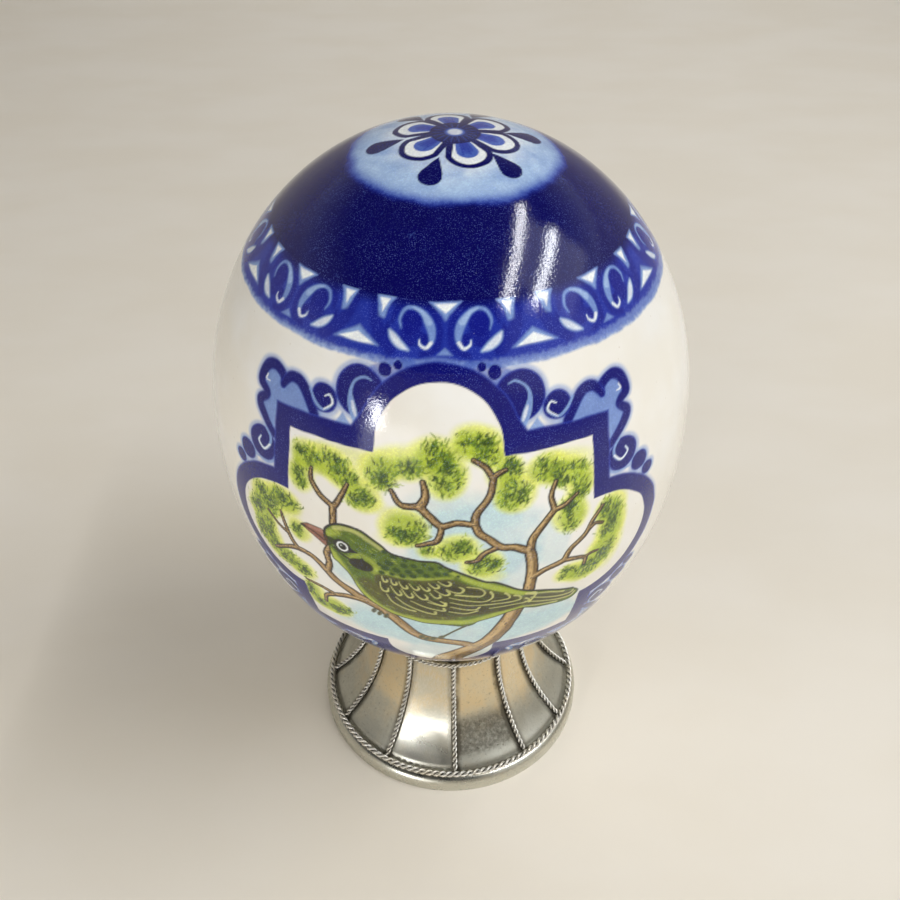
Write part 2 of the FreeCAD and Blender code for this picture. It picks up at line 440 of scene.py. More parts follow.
# A petal's layers: colour, reach of its round end's middle, its width there, its width at the flower's heart.
PETAL_LAYERS = ((COBALT, 9.6, 10.6, 4.6), (CHALK, 9.7, 7.7, 0.6), (COBALT_WASH, 8.8, 5.0, 1.6))
FIELD_HEIGHT = 137.0       # height above the egg's bottom where the cobalt field ends
BORDER_HEIGHT = 127.9      # lower edge of the band's dark line
BORDER_FADE_HEIGHT = 126.3


def paint_medallion(sheet, azimuth, arc):
    """The crown: a watery disc with a six-petalled flower and six drops."""
    x = arc * np.sin(azimuth) - MEDALLION_X + sheet.wobble_x
    y = -arc * np.cos(azimuth) - MEDALLION_Y + sheet.wobble_y
    pen = Pen(sheet, x, y).near(np.zeros((1, 2)), MEDALLION_RADIUS + 6)
    if not len(pen.x):
        return
    wash, grain = sheet.wash[pen.at], sheet.grain[pen.at]
    reach = np.hypot(pen.x, pen.y)
    ragged = 1.6 * (wash - 0.5) + 0.5 * (grain - 0.5)
    disc = edge(MEDALLION_RADIUS - 0.8 + ragged - reach, 3.0)
    pen.lay(COBALT_MID, edge(MEDALLION_RADIUS + 0.7 + ragged - reach, 2.4))
    pen.lay(COBALT_WASH, edge(MEDALLION_RADIUS + ragged - reach, 2.4) * 0.8)
    pen.lay(SKY_BLUE, disc)
    swirl = np.sin(np.arctan2(pen.y, pen.x) * 9 + reach * 0.55 + 9 * wash) * 0.5 + 0.5
    paler = np.clip(0.45 + 0.9 * (wash - 0.35) + 0.3 * swirl, 0, 1)
    pen.lay(COBALT_WASH, disc * np.clip(1.6 * (swirl * wash - 0.28), 0, 0.35) * edge(reach - 15.0, 6.0))
    pen.lay(WATER_BLUE, disc * paler * edge(MEDALLION_RADIUS - 1.5 - reach, 6.0))
    pen.lay(CHALK, edge(16.0 + 5 * (wash - 0.5) - reach, 7.0) * (0.4 + 0.4 * swirl * wash))

    directions = [heading(angle) for angle in PETAL_ANGLES]
    for colour, middle, width, root in PETAL_LAYERS:
        for across, up in directions:
            places = [(2 * across, 2 * up, root), (middle * across, middle * up, width)]
            stroke(pen, places, colour)
    for index, (across, up) in enumerate(directions):
        vein = [(3 * across, 3 * up, 1.2), (8.2 * across, 8.2 * up, 2.6)]
        stroke(pen, vein, COBALT_MID, soft=1.2, strength=0.6)
        for side in (-1.3, -0.5, 0.4, 1.2):
            start_x, start_y = 4.5 * across - side * 0.3 * up, 4.5 * up + side * 0.3 * across
            end = 9.2 + 0.9 * math.sin(index * 2.1 + side * 3)
            end_x, end_y = end * across - side * up, end * up + side * across
            stroke(pen, [(start_x, start_y, 0.6), (end_x, end_y, 0.35)], COBALT_MID, strength=0.75)
    oval(pen, 0, 0, 5.7, 5.7, COBALT)
    for angle in range(0, 360, 20):
        across, up = heading(angle)
        ray = [(2.4 * across, 2.4 * up, 0.25), (4.9 * across, 4.9 * up, 0.3)]
        stroke(pen, ray, COBALT_WASH, strength=0.35)
    oval(pen, 0, 0, 2.2, 2.2, COBALT_WASH, soft=0.7)
    oval(pen, 0, 0, 1.6, 1.6, CHALK, soft=0.7, strength=0.75)
    for angle in TEARDROP_ANGLES:
        across, up = heading(angle)
        drop = [(reach * across, reach * up, width) for reach, width in TEARDROP]
        stroke(pen, drop, COBALT)


# The band is drawn in degrees out from a unit's middle and mm above the egg's bottom, and widths in mm.
# Light patches that stay open in the blue: outline, how far it grows, soft edge, strength, colour.
BAND_PATCHES = (
    (((-4.3, 136.95), (4.3, 136.95), (0.8, 135.2), (0, 134.4)), 0.2, 0.9, 0.9, SKY_BLUE),
    (((-3.1, 136.75), (3.1, 136.75), (0.4, 135.5), (0, 135.3)), 0.0, 0.5, 1.0, CHALK),
    (((14.4, 137.0), (19.3, 137.0), (18.3, 135.8), (17.8, 134.0), (16.6, 133.9), (16.2, 135.2),
      (15.4, 136.3)), 0.3, 0.8, 0.9, SKY_BLUE),
    (((15.5, 136.7), (18.6, 136.7), (17.5, 135.6), (17.2, 134.6)), 0.0, 0.5, 1.0, CHALK),
    (((16.4, 129.3), (28.6, 129.3), (22.5, 132.0)), 0.0, 1.0, 1.0, SKY_BLUE),
    (((17.6, 129.4), (27.4, 129.4), (22.5, 131.1)), 0.0, 0.4, 1.0, CHALK),
    (((-1.9, 128.7), (1.9, 128.7), (0, 129.9)), 0.0, 0.6, 0.8, SKY_BLUE),
)
# Dark strokes round the scroll: places, soft edge, strength.
BAND_DARKS = (
    (((14.0, 133.4, 0.7), (13.0, 135.3, 1.6), (10.0, 136.6, 1.8), (5.5, 136.4, 1.7), (2.6, 134.9, 1.6),
      (1.4, 132.2, 1.6), (2.6, 129.7, 1.7), (5.5, 128.7, 1.3)), 0.8, 0.75),
    (((15.2, 133.2, 0.5), (14.6, 132.0, 1.2), (11.2, 130.9, 1.5), (8.6, 130.4, 1.2)), 0.7, 0.8),
    (((20.3, 136.9, 1.2), (19.6, 134.6, 1.8), (17.0, 131.6, 3.0), (13.4, 129.2, 2.6)), 0.9, 0.7),
)
BAND_LEAF = ((14.2, 132.0, 0.6), (12.8, 131.0, 1.7), (11.0, 130.0, 1.6), (9.0, 129.3, 0.5))
BAND_SCROLL = ((11.4, 132.7, 0.3), (12.0, 134.0, 0.6), (10.9, 135.5, 0.75), (8.6, 135.9, 0.8),
               (6.2, 135.3, 1.2), (4.3, 133.9, 1.9), (3.3, 132.2, 1.5), (3.4, 130.7, 0.9), (4.6, 129.8, 0.75),
               (6.1, 130.3, 0.6), (6.4, 131.1, 0.3))
BAND_SHADE = tone(60, 80, 170)     # paint darker than this deepens towards the field
SCRATCHES = 150
SCRATCH_REACH = 46         # mm from the crown to the farthest scratch


def band_up(height):
    """Height on the band's chart of a height above the egg's bottom."""
    return BAND_FOOT_ARC - arc_at_height(height)


def band_places(rows):
    """Places on the band's chart, with any further columns such as a width kept."""
    return [(row[0] * BAND_MM_PER_DEGREE, band_up(row[1]), *row[2:]) for row in rows]


def paint_band(sheet, azimuth, arc):
    """The cap's cobalt field, and its band of scrolls: eight units, each mirrored about its middle."""
    up = BAND_FOOT_ARC - arc + sheet.wobble_y
    turned = np.degrees(azimuth) - BAND_CENTRE + sheet.wobble_x / BAND_MM_PER_DEGREE
    from_middle = np.abs((turned + BAND_UNIT / 2) % BAND_UNIT - BAND_UNIT / 2)
    pen = Pen(sheet, from_middle * BAND_MM_PER_DEGREE, up)
    edge_up = band_up(FIELD_HEIGHT)
    line_up = band_up(BORDER_HEIGHT)
    fade_up = band_up(BORDER_FADE_HEIGHT) + 0.9 * (sheet.wash - 0.5) - 0.55 * np.sin(azimuth)
    grain = sheet.grain

    pen.lay(SKY_BLUE, edge(up - fade_up + 0.2 * (grain - 0.5), 0.6) * 0.8)
    pen.lay(COBALT_WASH, edge(up - fade_up - 0.5 + 0.8 * (grain - 0.5), 1.2) * 0.7)
    pen.lay(COBALT_MID, edge(up - line_up + 0.3 + 0.8 * (grain - 0.5), 1.2))
    paint_band_unit(pen)

    # The scrolls darken towards the plain field above them.
    dark = edge(BAND_SHADE.mean() - sheet.colour.mean(axis=1), 0.05)
    pen.lay(COBALT, dark * edge(up - edge_up + 1.3, 2.6) * 0.85)
    pen.lay(COBALT, edge(up - edge_up - 0.1, 0.4))
    paint_scratches(Pen(sheet, arc * np.sin(azimuth), -arc * np.cos(azimuth)))


def paint_band_unit(pen):
    """Half a unit of the band: open patches, the darks, then the scroll's light line."""
    for outline, grow, soft, strength, colour in BAND_PATCHES:
        fill(pen, band_places(outline), colour, grow=grow, soft=soft, strength=strength)
    for places, soft, strength in BAND_DARKS:
        stroke(pen, band_places(places), COBALT_BAND, soft=soft, strength=strength)
    eye, hollow, bead = band_places(((8.9, 133.7), (8.0, 131.6), (4.9, 131.1)))
    oval(pen, *eye, 2.4, 2.6, COBALT_BAND, soft=0.7)
    oval(pen, *hollow, 2.9, 1.7, COBALT_BAND, lean=20, soft=0.8, strength=0.8)
    oval(pen, *bead, 1.2, 1.2, COBALT_BAND, soft=0.5)
    leaf, scroll = band_places(BAND_LEAF), band_places(BAND_SCROLL)
    stroke(pen, leaf, SKY_BLUE, widen=0.2, soft=0.5, strength=0.9)
    stroke(pen, leaf, CHALK, widen=-0.45, soft=0.5, strength=0.7)
    stroke(pen, scroll, COBALT_WASH, widen=0.3, soft=0.5, strength=0.7)
    stroke(pen, scroll, SKY_BLUE, widen=-0.15, soft=0.35, strength=0.8)
    stroke(pen, scroll[3:6], WATER_BLUE, widen=-0.5, soft=0.4, strength=0.5)
    stroke(pen, scroll[7:], CHALK, widen=-0.2, soft=0.3, strength=0.85)


def paint_scratches(pen):
    """Fine marks of a hand-rubbed ground, over the plain field."""
    rng = np.random.default_rng(5)
    for _ in range(SCRATCHES):
        reach = rng.uniform(MEDALLION_RADIUS + 2, SCRATCH_REACH)
        bearing = rng.uniform(0, 2 * math.pi)
        lean = rng.uniform(0, math.pi)
        length = rng.uniform(0.4, 2.2)
        x, y = reach * math.cos(bearing), reach * math.sin(bearing)
        scratch = bent_line(x, y, lean, length, rng.uniform(-0.5, 0.5), (0.12, 0.18, 0.12))
        stroke(pen, scratch, COBALT_WASH, strength=rng.uniform(0.1, 0.35), steps=2)


# ======================================================================
# The panel's blue frame, drawn in one quarter and mirrored
# ======================================================================
WINDOW = four_quarters(np.vstack([
    arc_places(0, 35.5, 13.2, 90, 0),
    [(13.5, 33.4), (33.5, 34.8), (35.5, 17.7)],
    arc_places(37.2, 0.2, 17.5, 95.5, 0),
]))
FRAME_OUTER = four_quarters(np.vstack([
    arc_places(0, 35.5, 16.9, 90, 22),
    [(18.2, 38.6), (37.3, 39.4), (39.4, 22.0)],
    arc_places(37.2, 0.2, 21.9, 84, 0),
]))
CREST = ((38.7, 31.0, 1.6), (41.6, 34.6, 2.1), (43.0, 38.0, 2.1), (40.4, 40.3, 1.7), (42.4, 43.0, 2.1),
         (40.6, 46.4, 2.2), (37.8, 47.3, 2.2), (35.3, 45.6, 1.9), (35.4, 43.6, 1.2))
CREST_INNER = ((35.4, 43.6, 1.2), (33.0, 45.8, 2.0), (30.4, 45.3, 2.2), (28.5, 42.6, 2.1), (27.0, 39.4, 2.0))
CREST_FILL = [row[:2] for row in CREST + CREST_INNER] + [(32.0, 38.6), (37.3, 39.2), (38.2, 34.0)]
SCROLL_DISC = (16.4, 45.8, 5.3)
SNAIL_DISC = (24.5, 43.2, 3.1)
LOWER_SNAIL_DISC = (42.8, 27.3, 4.4)
TOES = ((48.9, 22.8, 2.8), (52.4, 19.0, 2.0))
ARCH_DOTS = ((11.0, 50.6, 1.4), (8.3, 51.6, 0.9))
ARCH_WASH = ((14.5, 43.0), (16.0, 50.0), (12.0, 52.0), (5.0, 53.0), (4.0, 50.0))
CURL = ((43.4, 28.9, 0.35), (44.2, 27.3, 0.5), (42.4, 25.9, 0.6), (40.3, 27.7, 0.6), (40.0, 30.0, 0.6),
        (41.2, 31.5, 0.4))
# The lights drawn over the dark discs: places, colour, widening, soft edge, strength.
ORNAMENT_LIGHTS = (
    (((13.8, 48.3, 0.3), (15.2, 48.8, 0.5), (17.4, 47.7, 0.55), (18.4, 45.4, 0.9), (17.9, 42.4, 1.9),
      (17.0, 39.4, 1.4)), SKY_BLUE, 0.0, 0.3, 0.9),
    (((17.9, 43.6, 0.5), (17.5, 42.0, 0.8), (17.2, 40.8, 0.4)), CHALK, 0.0, 0.5, 0.7),
    (((28.0, 44.4, 0.5), (26.6, 42.0, 0.7), (24.6, 40.7, 0.65), (22.4, 42.3, 0.5), (23.0, 44.0, 0.4),
      (24.2, 43.6, 0.3)), SKY_BLUE, 0.0, SOFT, 0.9),
    (((24.6, 40.7, 0.25), (22.5, 42.3, 0.4), (23.0, 44.0, 0.35), (24.2, 43.6, 0.25)), CHALK, 0.0, SOFT, 0.85),
    (CURL, SKY_BLUE, 0.15, SOFT, 1.0),
    (CURL[:4], CHALK, -0.1, SOFT, 0.9),
    (((39.0, 25.3, 0.4), (39.8, 23.5, 0.6), (42.0, 22.7, 0.7), (46.0, 22.8, 0.4)), SKY_BLUE, 0.0, SOFT, 0.7),
)


def paint_ornaments(pen):
    """The scrolls, crest and beads outside one quarter of the frame: halos, then darks, then lights."""
    discs = (SCROLL_DISC, SNAIL_DISC, LOWER_SNAIL_DISC) + TOES
    for x, y, radius in discs:
        oval(pen, x, y, radius + 0.9, radius + 0.9, SKY_BLUE, soft=1.0, strength=0.62)
    for crest in (CREST, CREST_INNER):
        stroke(pen, crest, SKY_BLUE, widen=1.9, soft=1.0, strength=0.62)
    fill(pen, ARCH_WASH, COBALT_WASH, soft=0.8, strength=0.7)
    fill(pen, CREST_FILL, SKY_BLUE, strength=0.96)
    fill(pen, CREST_FILL, COBALT_WASH, grow=-0.4, soft=1.6, strength=0.3)
    for crest in (CREST, CREST_INNER):
        stroke(pen, crest, COBALT_MID, widen=0.6, soft=0.5, strength=0.85)
        stroke(pen, crest, COBALT_BRIGHT, widen=0.1, soft=0.5)
    for x, y, radius in discs:
        oval(pen, x, y, radius + 0.1, radius + 0.1, COBALT_MID, soft=0.5)
        oval(pen, x, y, radius - 0.2, radius - 0.2, COBALT_BRIGHT, soft=0.7)
    for x, y, radius in ARCH_DOTS:
        oval(pen, x, y, radius, radius, COBALT_BRIGHT)
    fill(pen, ((22.9, 37.6), (17.6, 37.6), (20.2, 41.2)), SKY_BLUE, soft=0.5, strength=0.9)
    for places, colour, widen, soft, strength in ORNAMENT_LIGHTS:
        stroke(pen, places, colour, widen=widen, soft=soft, strength=strength)
    for x, y, radius in TOES:
        ring = [tuple(place) + (0.3,) for place in arc_places(x, y, radius + 0.1, -20, 200, 10)]
        stroke(pen, ring, SKY_BLUE, strength=0.6)
    stroke(pen, ((40.2, 44.7, 0.35), (40.8, 43.6, 0.45), (39.6, 43.2, 0.3)), CHALK, strength=0.8)


def paint_frame(pen):
    """The blue frame round the bare window."""
    reach = pen.near(np.array([(-62, -58), (62, 58)]), 0)
    if not len(reach.x):
        return
    fill(reach, FRAME_OUTER, SKY_BLUE, grow=0.8, soft=1.2, strength=0.5)
    for left_right in (1, -1):
        for up_down in (1, -1):
            paint_ornaments(reach.flipped(left_right, up_down))
    fill(reach, FRAME_OUTER, COBALT_MID, grow=0.25, soft=0.5, strength=0.9)
    fill(reach, FRAME_OUTER, COBALT_BRIGHT, grow=-0.1, soft=0.5)
    reach.bare(edge(outline_depth(reach, WINDOW), 0.3))


# ======================================================================
# The picture in the window
# ======================================================================
# Branches are rows of (x, y, width). The trunk rises from the lower arch; the limbs fork off it.
TRUNK = ((1.0, -51, 8), (2.3, -44, 7.2), (6.5, -38, 6.2), (11.5, -32, 5.0), (15.3, -24, 4.4),
         (17.8, -16.5, 3.8), (20.0, -11, 3.0), (21.0, -8, 2.7), (21.5, -1.5, 2.6), (21.0, 4.3, 2.3),
         (20.3, 7.7, 2.0))
BRANCHES = (
    TRUNK,
    ((20.3, 7.0, 2.0), (17.0, 9.0, 1.8), (13.8, 9.8, 1.7), (11.0, 12.5, 1.6), (9.0, 14.3, 1.6),
     (7.8, 17.2, 1.5)),
    ((7.8, 17.0, 1.4), (4.0, 17.7, 1.3), (0.7, 16.8, 1.4), (-1.8, 19.3, 1.5), (-3.9, 21.8, 1.6)),
    ((-3.9, 21.8, 1.3), (-7.7, 21.8, 1.1), (-9.8, 25.2, 0.6)),
    ((-3.9, 21.6, 1.8), (-2.6, 24.3, 1.5), (-3.0, 27.7, 0.8)),
    ((0.7, 16.9, 1.2), (0.7, 15.2, 1.1), (-0.2, 12.3, 1.1), (-2.4, 11.4, 0.9), (-4.5, 10.6, 0.6)),
    ((7.8, 17.0, 1.5), (8.2, 20.2, 1.3), (10.7, 24.3, 1.2), (11.5, 28.5, 1.1)),
    ((11.5, 28.3, 1.0), (9.6, 31.3, 0.9), (7.2, 33.0, 0.6)),
    ((11.4, 28.6, 1.0), (12.6, 29.6, 0.9), (14.0, 30.2, 0.6)),
    ((13.0, 9.9, 1.1), (10.0, 8.2, 1.0), (8.5, 6.0, 0.9), (6.5, 5.7, 0.5)),
    ((20.5, 7.4, 1.9), (21.0, 11.0, 1.7), (23.6, 15.2, 1.4), (25.4, 18.0, 1.3)),
    ((25.4, 18.0, 1.1), (24.4, 22.0, 0.9), (25.3, 25.6, 0.6)),
    ((25.2, 17.9, 1.1), (28.2, 18.8, 0.9), (30.8, 20.9, 0.6)),
    ((21.4, -3.2, 1.8), (24.0, -1.5, 1.6), (26.5, -0.7, 1.5), (29.4, 0.2, 1.4)),
    ((29.4, 0.2, 1.3), (30.7, 3.5, 1.2), (32.8, 5.6, 1.1), (34.8, 7.7, 1.0), (36.2, 11.0, 0.9),
     (38.4, 14.4, 0.6)),
    ((35.0, 8.0, 0.9), (37.0, 9.3, 0.7), (39.0, 8.5, 0.5)),
    ((29.4, 0.3, 1.2), (32.3, -0.7, 1.0), (35.3, -1.9, 0.9), (35.4, -4.6, 0.5)),
    ((35.0, -1.9, 0.7), (37.0, -1.3, 0.6), (39.0, -1.6, 0.4)),
    ((9.4, -35.0, 3.4), (5.7, -31.7, 3.0), (0.7, -29.6, 2.9), (-3.5, -28.2, 2.9), (-6.8, -25.3, 2.8),
     (-10.2, -19.8, 2.8), (-13.9, -15.3, 2.8), (-18.5, -12.8, 2.6), (-24.3, -9.0, 2.1), (-27.3, -5.7, 1.9),
     (-31.0, -2.6, 1.5), (-35.2, -2.4, 1.4), (-38.5, -4.1, 1.0), (-43.9, -8.6, 0.5)),
    ((-35.0, -2.4, 1.2), (-36.6, -0.2, 1.0), (-37.5, 2.0, 0.9)),
    ((-37.4, 1.8, 0.8), (-41.0, 3.5, 0.6), (-43.9, 6.0, 0.4)),
    ((-37.5, 2.0, 0.8), (-38.5, 6.0, 0.7), (-39.2, 8.8, 0.4)),
    ((-26.8, -5.6, 1.6), (-26.2, -2.3, 1.5), (-26.5, 1.4, 1.4), (-25.2, 4.5, 1.4), (-24.2, 8.5, 1.4),
     (-23.9, 11.8, 1.4), (-23.5, 17.5, 1.3)),
    ((-23.5, 17.4, 1.2), (-26.8, 20.2, 1.0), (-28.7, 23.3, 0.9), (-28.3, 26.2, 0.5)),
    ((-23.5, 17.4, 1.2), (-21.8, 20.2, 1.0), (-19.6, 24.6, 0.5)),
    ((-17.5, -13.8, 1.8), (-22.0, -14.2, 1.6), (-26.0, -16.0, 1.3)),
    ((-26.0, -15.9, 1.2), (-28.8, -18.6, 0.9), (-29.3, -22.5, 0.5)),
    ((-25.8, -15.8, 1.1), (-30.0, -15.0, 0.9), (-34.3, -15.3, 0.5)),
)
# Clumps of leaves: middle x and y, half width and half height. The same goes for the halos and patches of
# wash below, whose last value is a strength.
CLUMPS = (
    (-32, 23, 2.2, 3.5), (-30, 28.5, 3.2, 3), (-24, 28.5, 4.4, 3), (-17, 22, 3.4, 3.2), (-12, 29, 3.2, 3.8),
    (-6.5, 31, 4.2, 2.4), (-1, 33.5, 4, 3), (2, 29, 3.4, 4.5), (7, 36.3, 4, 3), (10.5, 33.5, 3, 1.8),
    (-20, 26, 3, 2.4), (14.6, 29.5, 2.8, 3.2), (15.5, 24, 3.5, 4), (23, 29, 3.8, 2.8), (28, 27.3, 4.6, 3),
    (32, 23, 2.4, 4), (30.3, 15, 3.3, 4.6), (-7.2, 15, 4.4, 4.6), (-2.3, 9, 1.6, 1.4), (4.2, 9.6, 3.6, 3.2),
    (10.3, 4.3, 3.6, 3.6), (40.5, 12, 3.6, 4), (42.3, 5, 3.4, 6), (40.5, -2, 3.8, 4.4), (36, -7.5, 4.6, 3.4),
    (31.3, -6, 2.6, 2.4), (-38, 13, 4.6, 3), (-44, 9.5, 4.6, 4.6), (-47, 3, 4.2, 5), (-46.5, -4, 4.2, 5),
    (-41.5, -9, 4.6, 3.6), (-36, -11, 3.6, 3.2), (-34.3, 5, 2, 2.6), (-33, -20, 2.2, 4), (-31, -25, 3.2, 2.6),
    (-26.5, -23.5, 3.6, 3.8),
)
YELLOW_HALOS = ((-20, 31, 8, 2.6), (-14, 20.5, 3, 2), (9, 36.5, 5.4, 3.4), (-9, 12, 4, 2), (12, 0, 3, 2),
                (42, 0, 5, 11), (-40, 12, 7, 5), (27, 30, 7, 3), (-6, 33, 7, 3))
LEAF_TUFTS = 6             # places in a clump that its dabs gather round
# Layers of a clump's dabs: colour, dabs for each unit of its half sizes multiplied, spread, greatest width.
LEAF_LAYERS = ((LEAF_LIGHT, 4.0, 1.15, 0.55), (LEAF_MID, 6.5, 1.0, 0.55), (LEAF_DARK, 4.6, 0.85, 0.45))
SKY_PATCHES = ((8, 10, 13, 12, 0.75), (18, 2, 5, 8, 0.5), (-20, -3, 5, 5, 0.6), (4, -25, 28, 7, 0.85),
               (-12, -21, 13, 5, 0.6), (22, -22, 12, 9, 0.55), (2, -38, 9, 8, 0.5), (26, 8, 4, 7, 0.45),
               (3, 20, 10, 6, 0.4))


def paint_sky(pen):
    wash = pen.sheet.wash[pen.at]
    for x, y, half_width, half_height, strength in SKY_PATCHES:
        ratio = np.hypot((pen.x - x) / half_width, (pen.y - y) / half_height)
        patch = edge(1.15 - ratio + 0.5 * (wash - 0.5), 0.55)
        pen.lay(SKY_WASH, patch * strength * (0.7 + 0.5 * wash).clip(0, 1))


def paint_leaves(pen):
    """Leaf clumps: a soft yellow-green glow, a green wash, then many short slanting dabs."""
    for x, y, half_width, half_height in YELLOW_HALOS:
        oval(pen, x, y, half_width, half_height, LEAF_YELLOW, soft=2.4, strength=0.6)
    for x, y, half_width, half_height in CLUMPS:
        shift = 0.8 * math.sin(3 * x + y)
        lean = 20 * math.sin(x + y)
        oval(pen, x + shift, y + 0.4, half_width + 1.4, half_height + 1.2, LEAF_YELLOW, lean, 1.9, 0.8)
    rng = np.random.default_rng(7)
    for x, y, half_width, half_height in CLUMPS:
        local = pen.near(np.array([(x, y)]), max(half_width, half_height) + 3)
        oval(local, x, y, half_width, half_height, LEAF_LIGHT, soft=2.4, strength=0.85)
        bearings = rng.uniform(0, 2 * math.pi, LEAF_TUFTS)
        reaches = np.sqrt(rng.uniform(0, 0.75, LEAF_TUFTS))
        slants = rng.uniform(15, 165, LEAF_TUFTS)
        for colour, density, spread, thickness in LEAF_LAYERS:
            for _ in range(int(density * half_width * half_height)):
                tuft = int(rng.integers(LEAF_TUFTS))
                reach = reaches[tuft] * spread
                start_x = x + half_width * (reach * math.cos(bearings[tuft]) + rng.normal(0, 0.26))
                start_y = y + half_height * (reach * math.sin(bearings[tuft]) + rng.normal(0, 0.26))
                slant = math.radians(slants[tuft] * 0.6 + 22 + rng.normal(0, 26))
                length = rng.uniform(0.5, 1.5)
                bend = rng.normal(0, 0.2)
                widths = (rng.uniform(0.25, thickness), 0.36, 0.14)
                dab = bent_line(start_x, start_y, slant, length, bend, widths)
                stroke(local, dab, colour, strength=rng.uniform(0.4, 1.0), steps=2)


def paint_branches(pen):
    for places in BRANCHES:
        stroke(pen, places, BARK_LINE, widen=0.65, soft=0.24)
    for places in BRANCHES:
        stroke(pen, places, BARK, widen=-0.3, soft=0.4)
    for places in BRANCHES:
        lit = [(x - 0.14 * width, y + 0.12 * width, width * 0.42) for x, y, width in places]
        stroke(pen, lit, BARK_LIGHT, soft=0.6, strength=0.8)
        shade = [(x + 0.25 * width, y - 0.2 * width, width * 0.3) for x, y, width in places]
        stroke(pen, shade, BARK_LINE, soft=0.7, strength=0.35)
    rng = np.random.default_rng(9)
    for places in BRANCHES:
        path = smooth_path(places)
        for (ax, ay, width), (bx, by, _) in zip(path[:-1], path[1:]):
            for _ in range(3):
                side = rng.uniform(-0.5, 0.5) * width
                length = math.hypot(bx - ax, by - ay) + 1e-6
                off_x, off_y = -(by - ay) / length * side, (bx - ax) / length * side
                reach = rng.uniform(0.4, 1.2)
                start = (ax + off_x, ay + off_y, 0.2)
                end = (ax + off_x + (bx - ax) * reach, ay + off_y + (by - ay) * reach, 0.14)
                stroke(pen, [start, end], BARK_LINE, strength=rng.uniform(0.25, 0.9))


# --- the bird -----------------------------------------------------------
BIRD = ((-26.6, 8.6), (-26.0, 10.2), (-24.5, 11.7), (-22.5, 12.7), (-20.0, 13.0), (-17.5, 12.5),
        (-15.3, 11.2), (-13.0, 9.4), (-10.0, 7.0), (-5.0, 5.9), (-0.5, 5.6), (2.0, 3.8), (6.5, 1.0),
        (10.5, -1.7), (13.5, -2.7), (19.5, -7.2), (26.0, -10.2), (30.0, -12.3), (33.0, -13.8), (34.8, -16.2),
        (33.9, -18.2), (31.5, -18.8), (24.0, -17.0), (19.3, -15.4), (14.0, -17.0), (9.5, -18.6), (8.0, -20.0),
        (6.0, -20.8), (2.0, -20.0),
        (-4.0, -19.2), (-9.0, -17.6), (-12.0, -16.3), (-15.5, -13.5), (-17.5, -11.5), (-19.5, -8.3),
        (-20.3, -5.5), (-21.5, -3.0), (-23.5, -0.6), (-24.9, 0.6), (-25.5, 4.0), (-26.0, 5.4))
BACK_LINE = ((-26.4, 7.0), (-26.4, 9.2)) + BIRD[1:19]
WING = ((-14.2, -1.2), (-14.4, -6.0), (-11.6, -11.5), (-6.0, -14.8), (2.0, -16.0), (14.0, -15.2),
        (20.0, -14.2), (22.4, -12.6), (20.0, -10.4), (14.0, -6.2), (8.0, -3.4), (3.0, -0.3), (-3.0, -1.0),
        (-8.0, -1.3))
TAIL = ((20.0, -9.4), (26.0, -11.4), (31.0, -13.8), (33.6, -15.4), (33.6, -17.2), (31.4, -17.9),
        (24.0, -16.2), (20.0, -14.2))
NAPE_SPOTS = ((-11, 3.7, 1.0), (-7.6, 3.6, 0.85), (-5.4, 3.9, 0.7), (-1.6, 3.4, 0.7), (-12, 1.9, 1.0),
              (-9.3, 1.6, 0.9), (-6.6, 1.7, 0.8), (-4.1, 2.3, 0.9), (-0.2, 1.6, 0.8), (-13.3, 2.9, 0.6),
              (-12.9, 0, 0.75), (-10.5, -0.1, 0.6), (-8.1, -0.1, 0.8), (-5.6, 0.3, 0.8), (-2.6, 0.9, 0.8),
              (-12, 7.3, 0.7), (-10, 6.1, 0.8), (-7.4, 5.4, 0.6), (1.6, 1.6, 0.6), (-3.2, 4.7, 0.5),
              (0.4, 3.9, 0.5), (2.6, 2.6, 0.5), (-14.6, 5.6, 0.4), (4.4, 0.8, 0.45))
# Small feathers hang as hooks: tip, the way it points in degrees, length and width.
SMALL_FEATHERS = (
    (-12.1, -3.4, -78, 2.0, 1.0), (-9.9, -4.0, -74, 2.4, 1.1), (-7.5, -4.9, -68, 2.9, 1.2),
    (-4.8, -4.9, -62, 2.9, 1.4), (-2.3, -4.9, -60, 2.8, 1.3), (0.0, -3.6, -52, 2.6, 1.4),
    (2.7, -2.4, -40, 2.8, 1.6), (-12.3, -7.2, -84, 3.6, 1.7), (-8.9, -7.8, -66, 3.8, 1.3),
    (-6.2, -8.2, -62, 3.8, 1.5), (-2.8, -8.5, -54, 4.2, 1.8), (0.2, -7.5, -55, 2.6, 1.6),
    (2.3, -6.0, -40, 3.4, 1.8), (1.5, -10.5, -34, 4.2, 1.5), (5.6, -4.9, -28, 3.8, 2.2),
)
# A small feather's line: how far back from its tip and to its side, as shares of its length and width, then
# the line's own width in mm.
HOOK = ((1.0, -0.42, 0.22), (0.5, -0.5, 0.32), (0.1, -0.36, 0.5), (0.0, 0.05, 0.62), (0.12, 0.42, 0.5),
        (0.42, 0.52, 0.26))
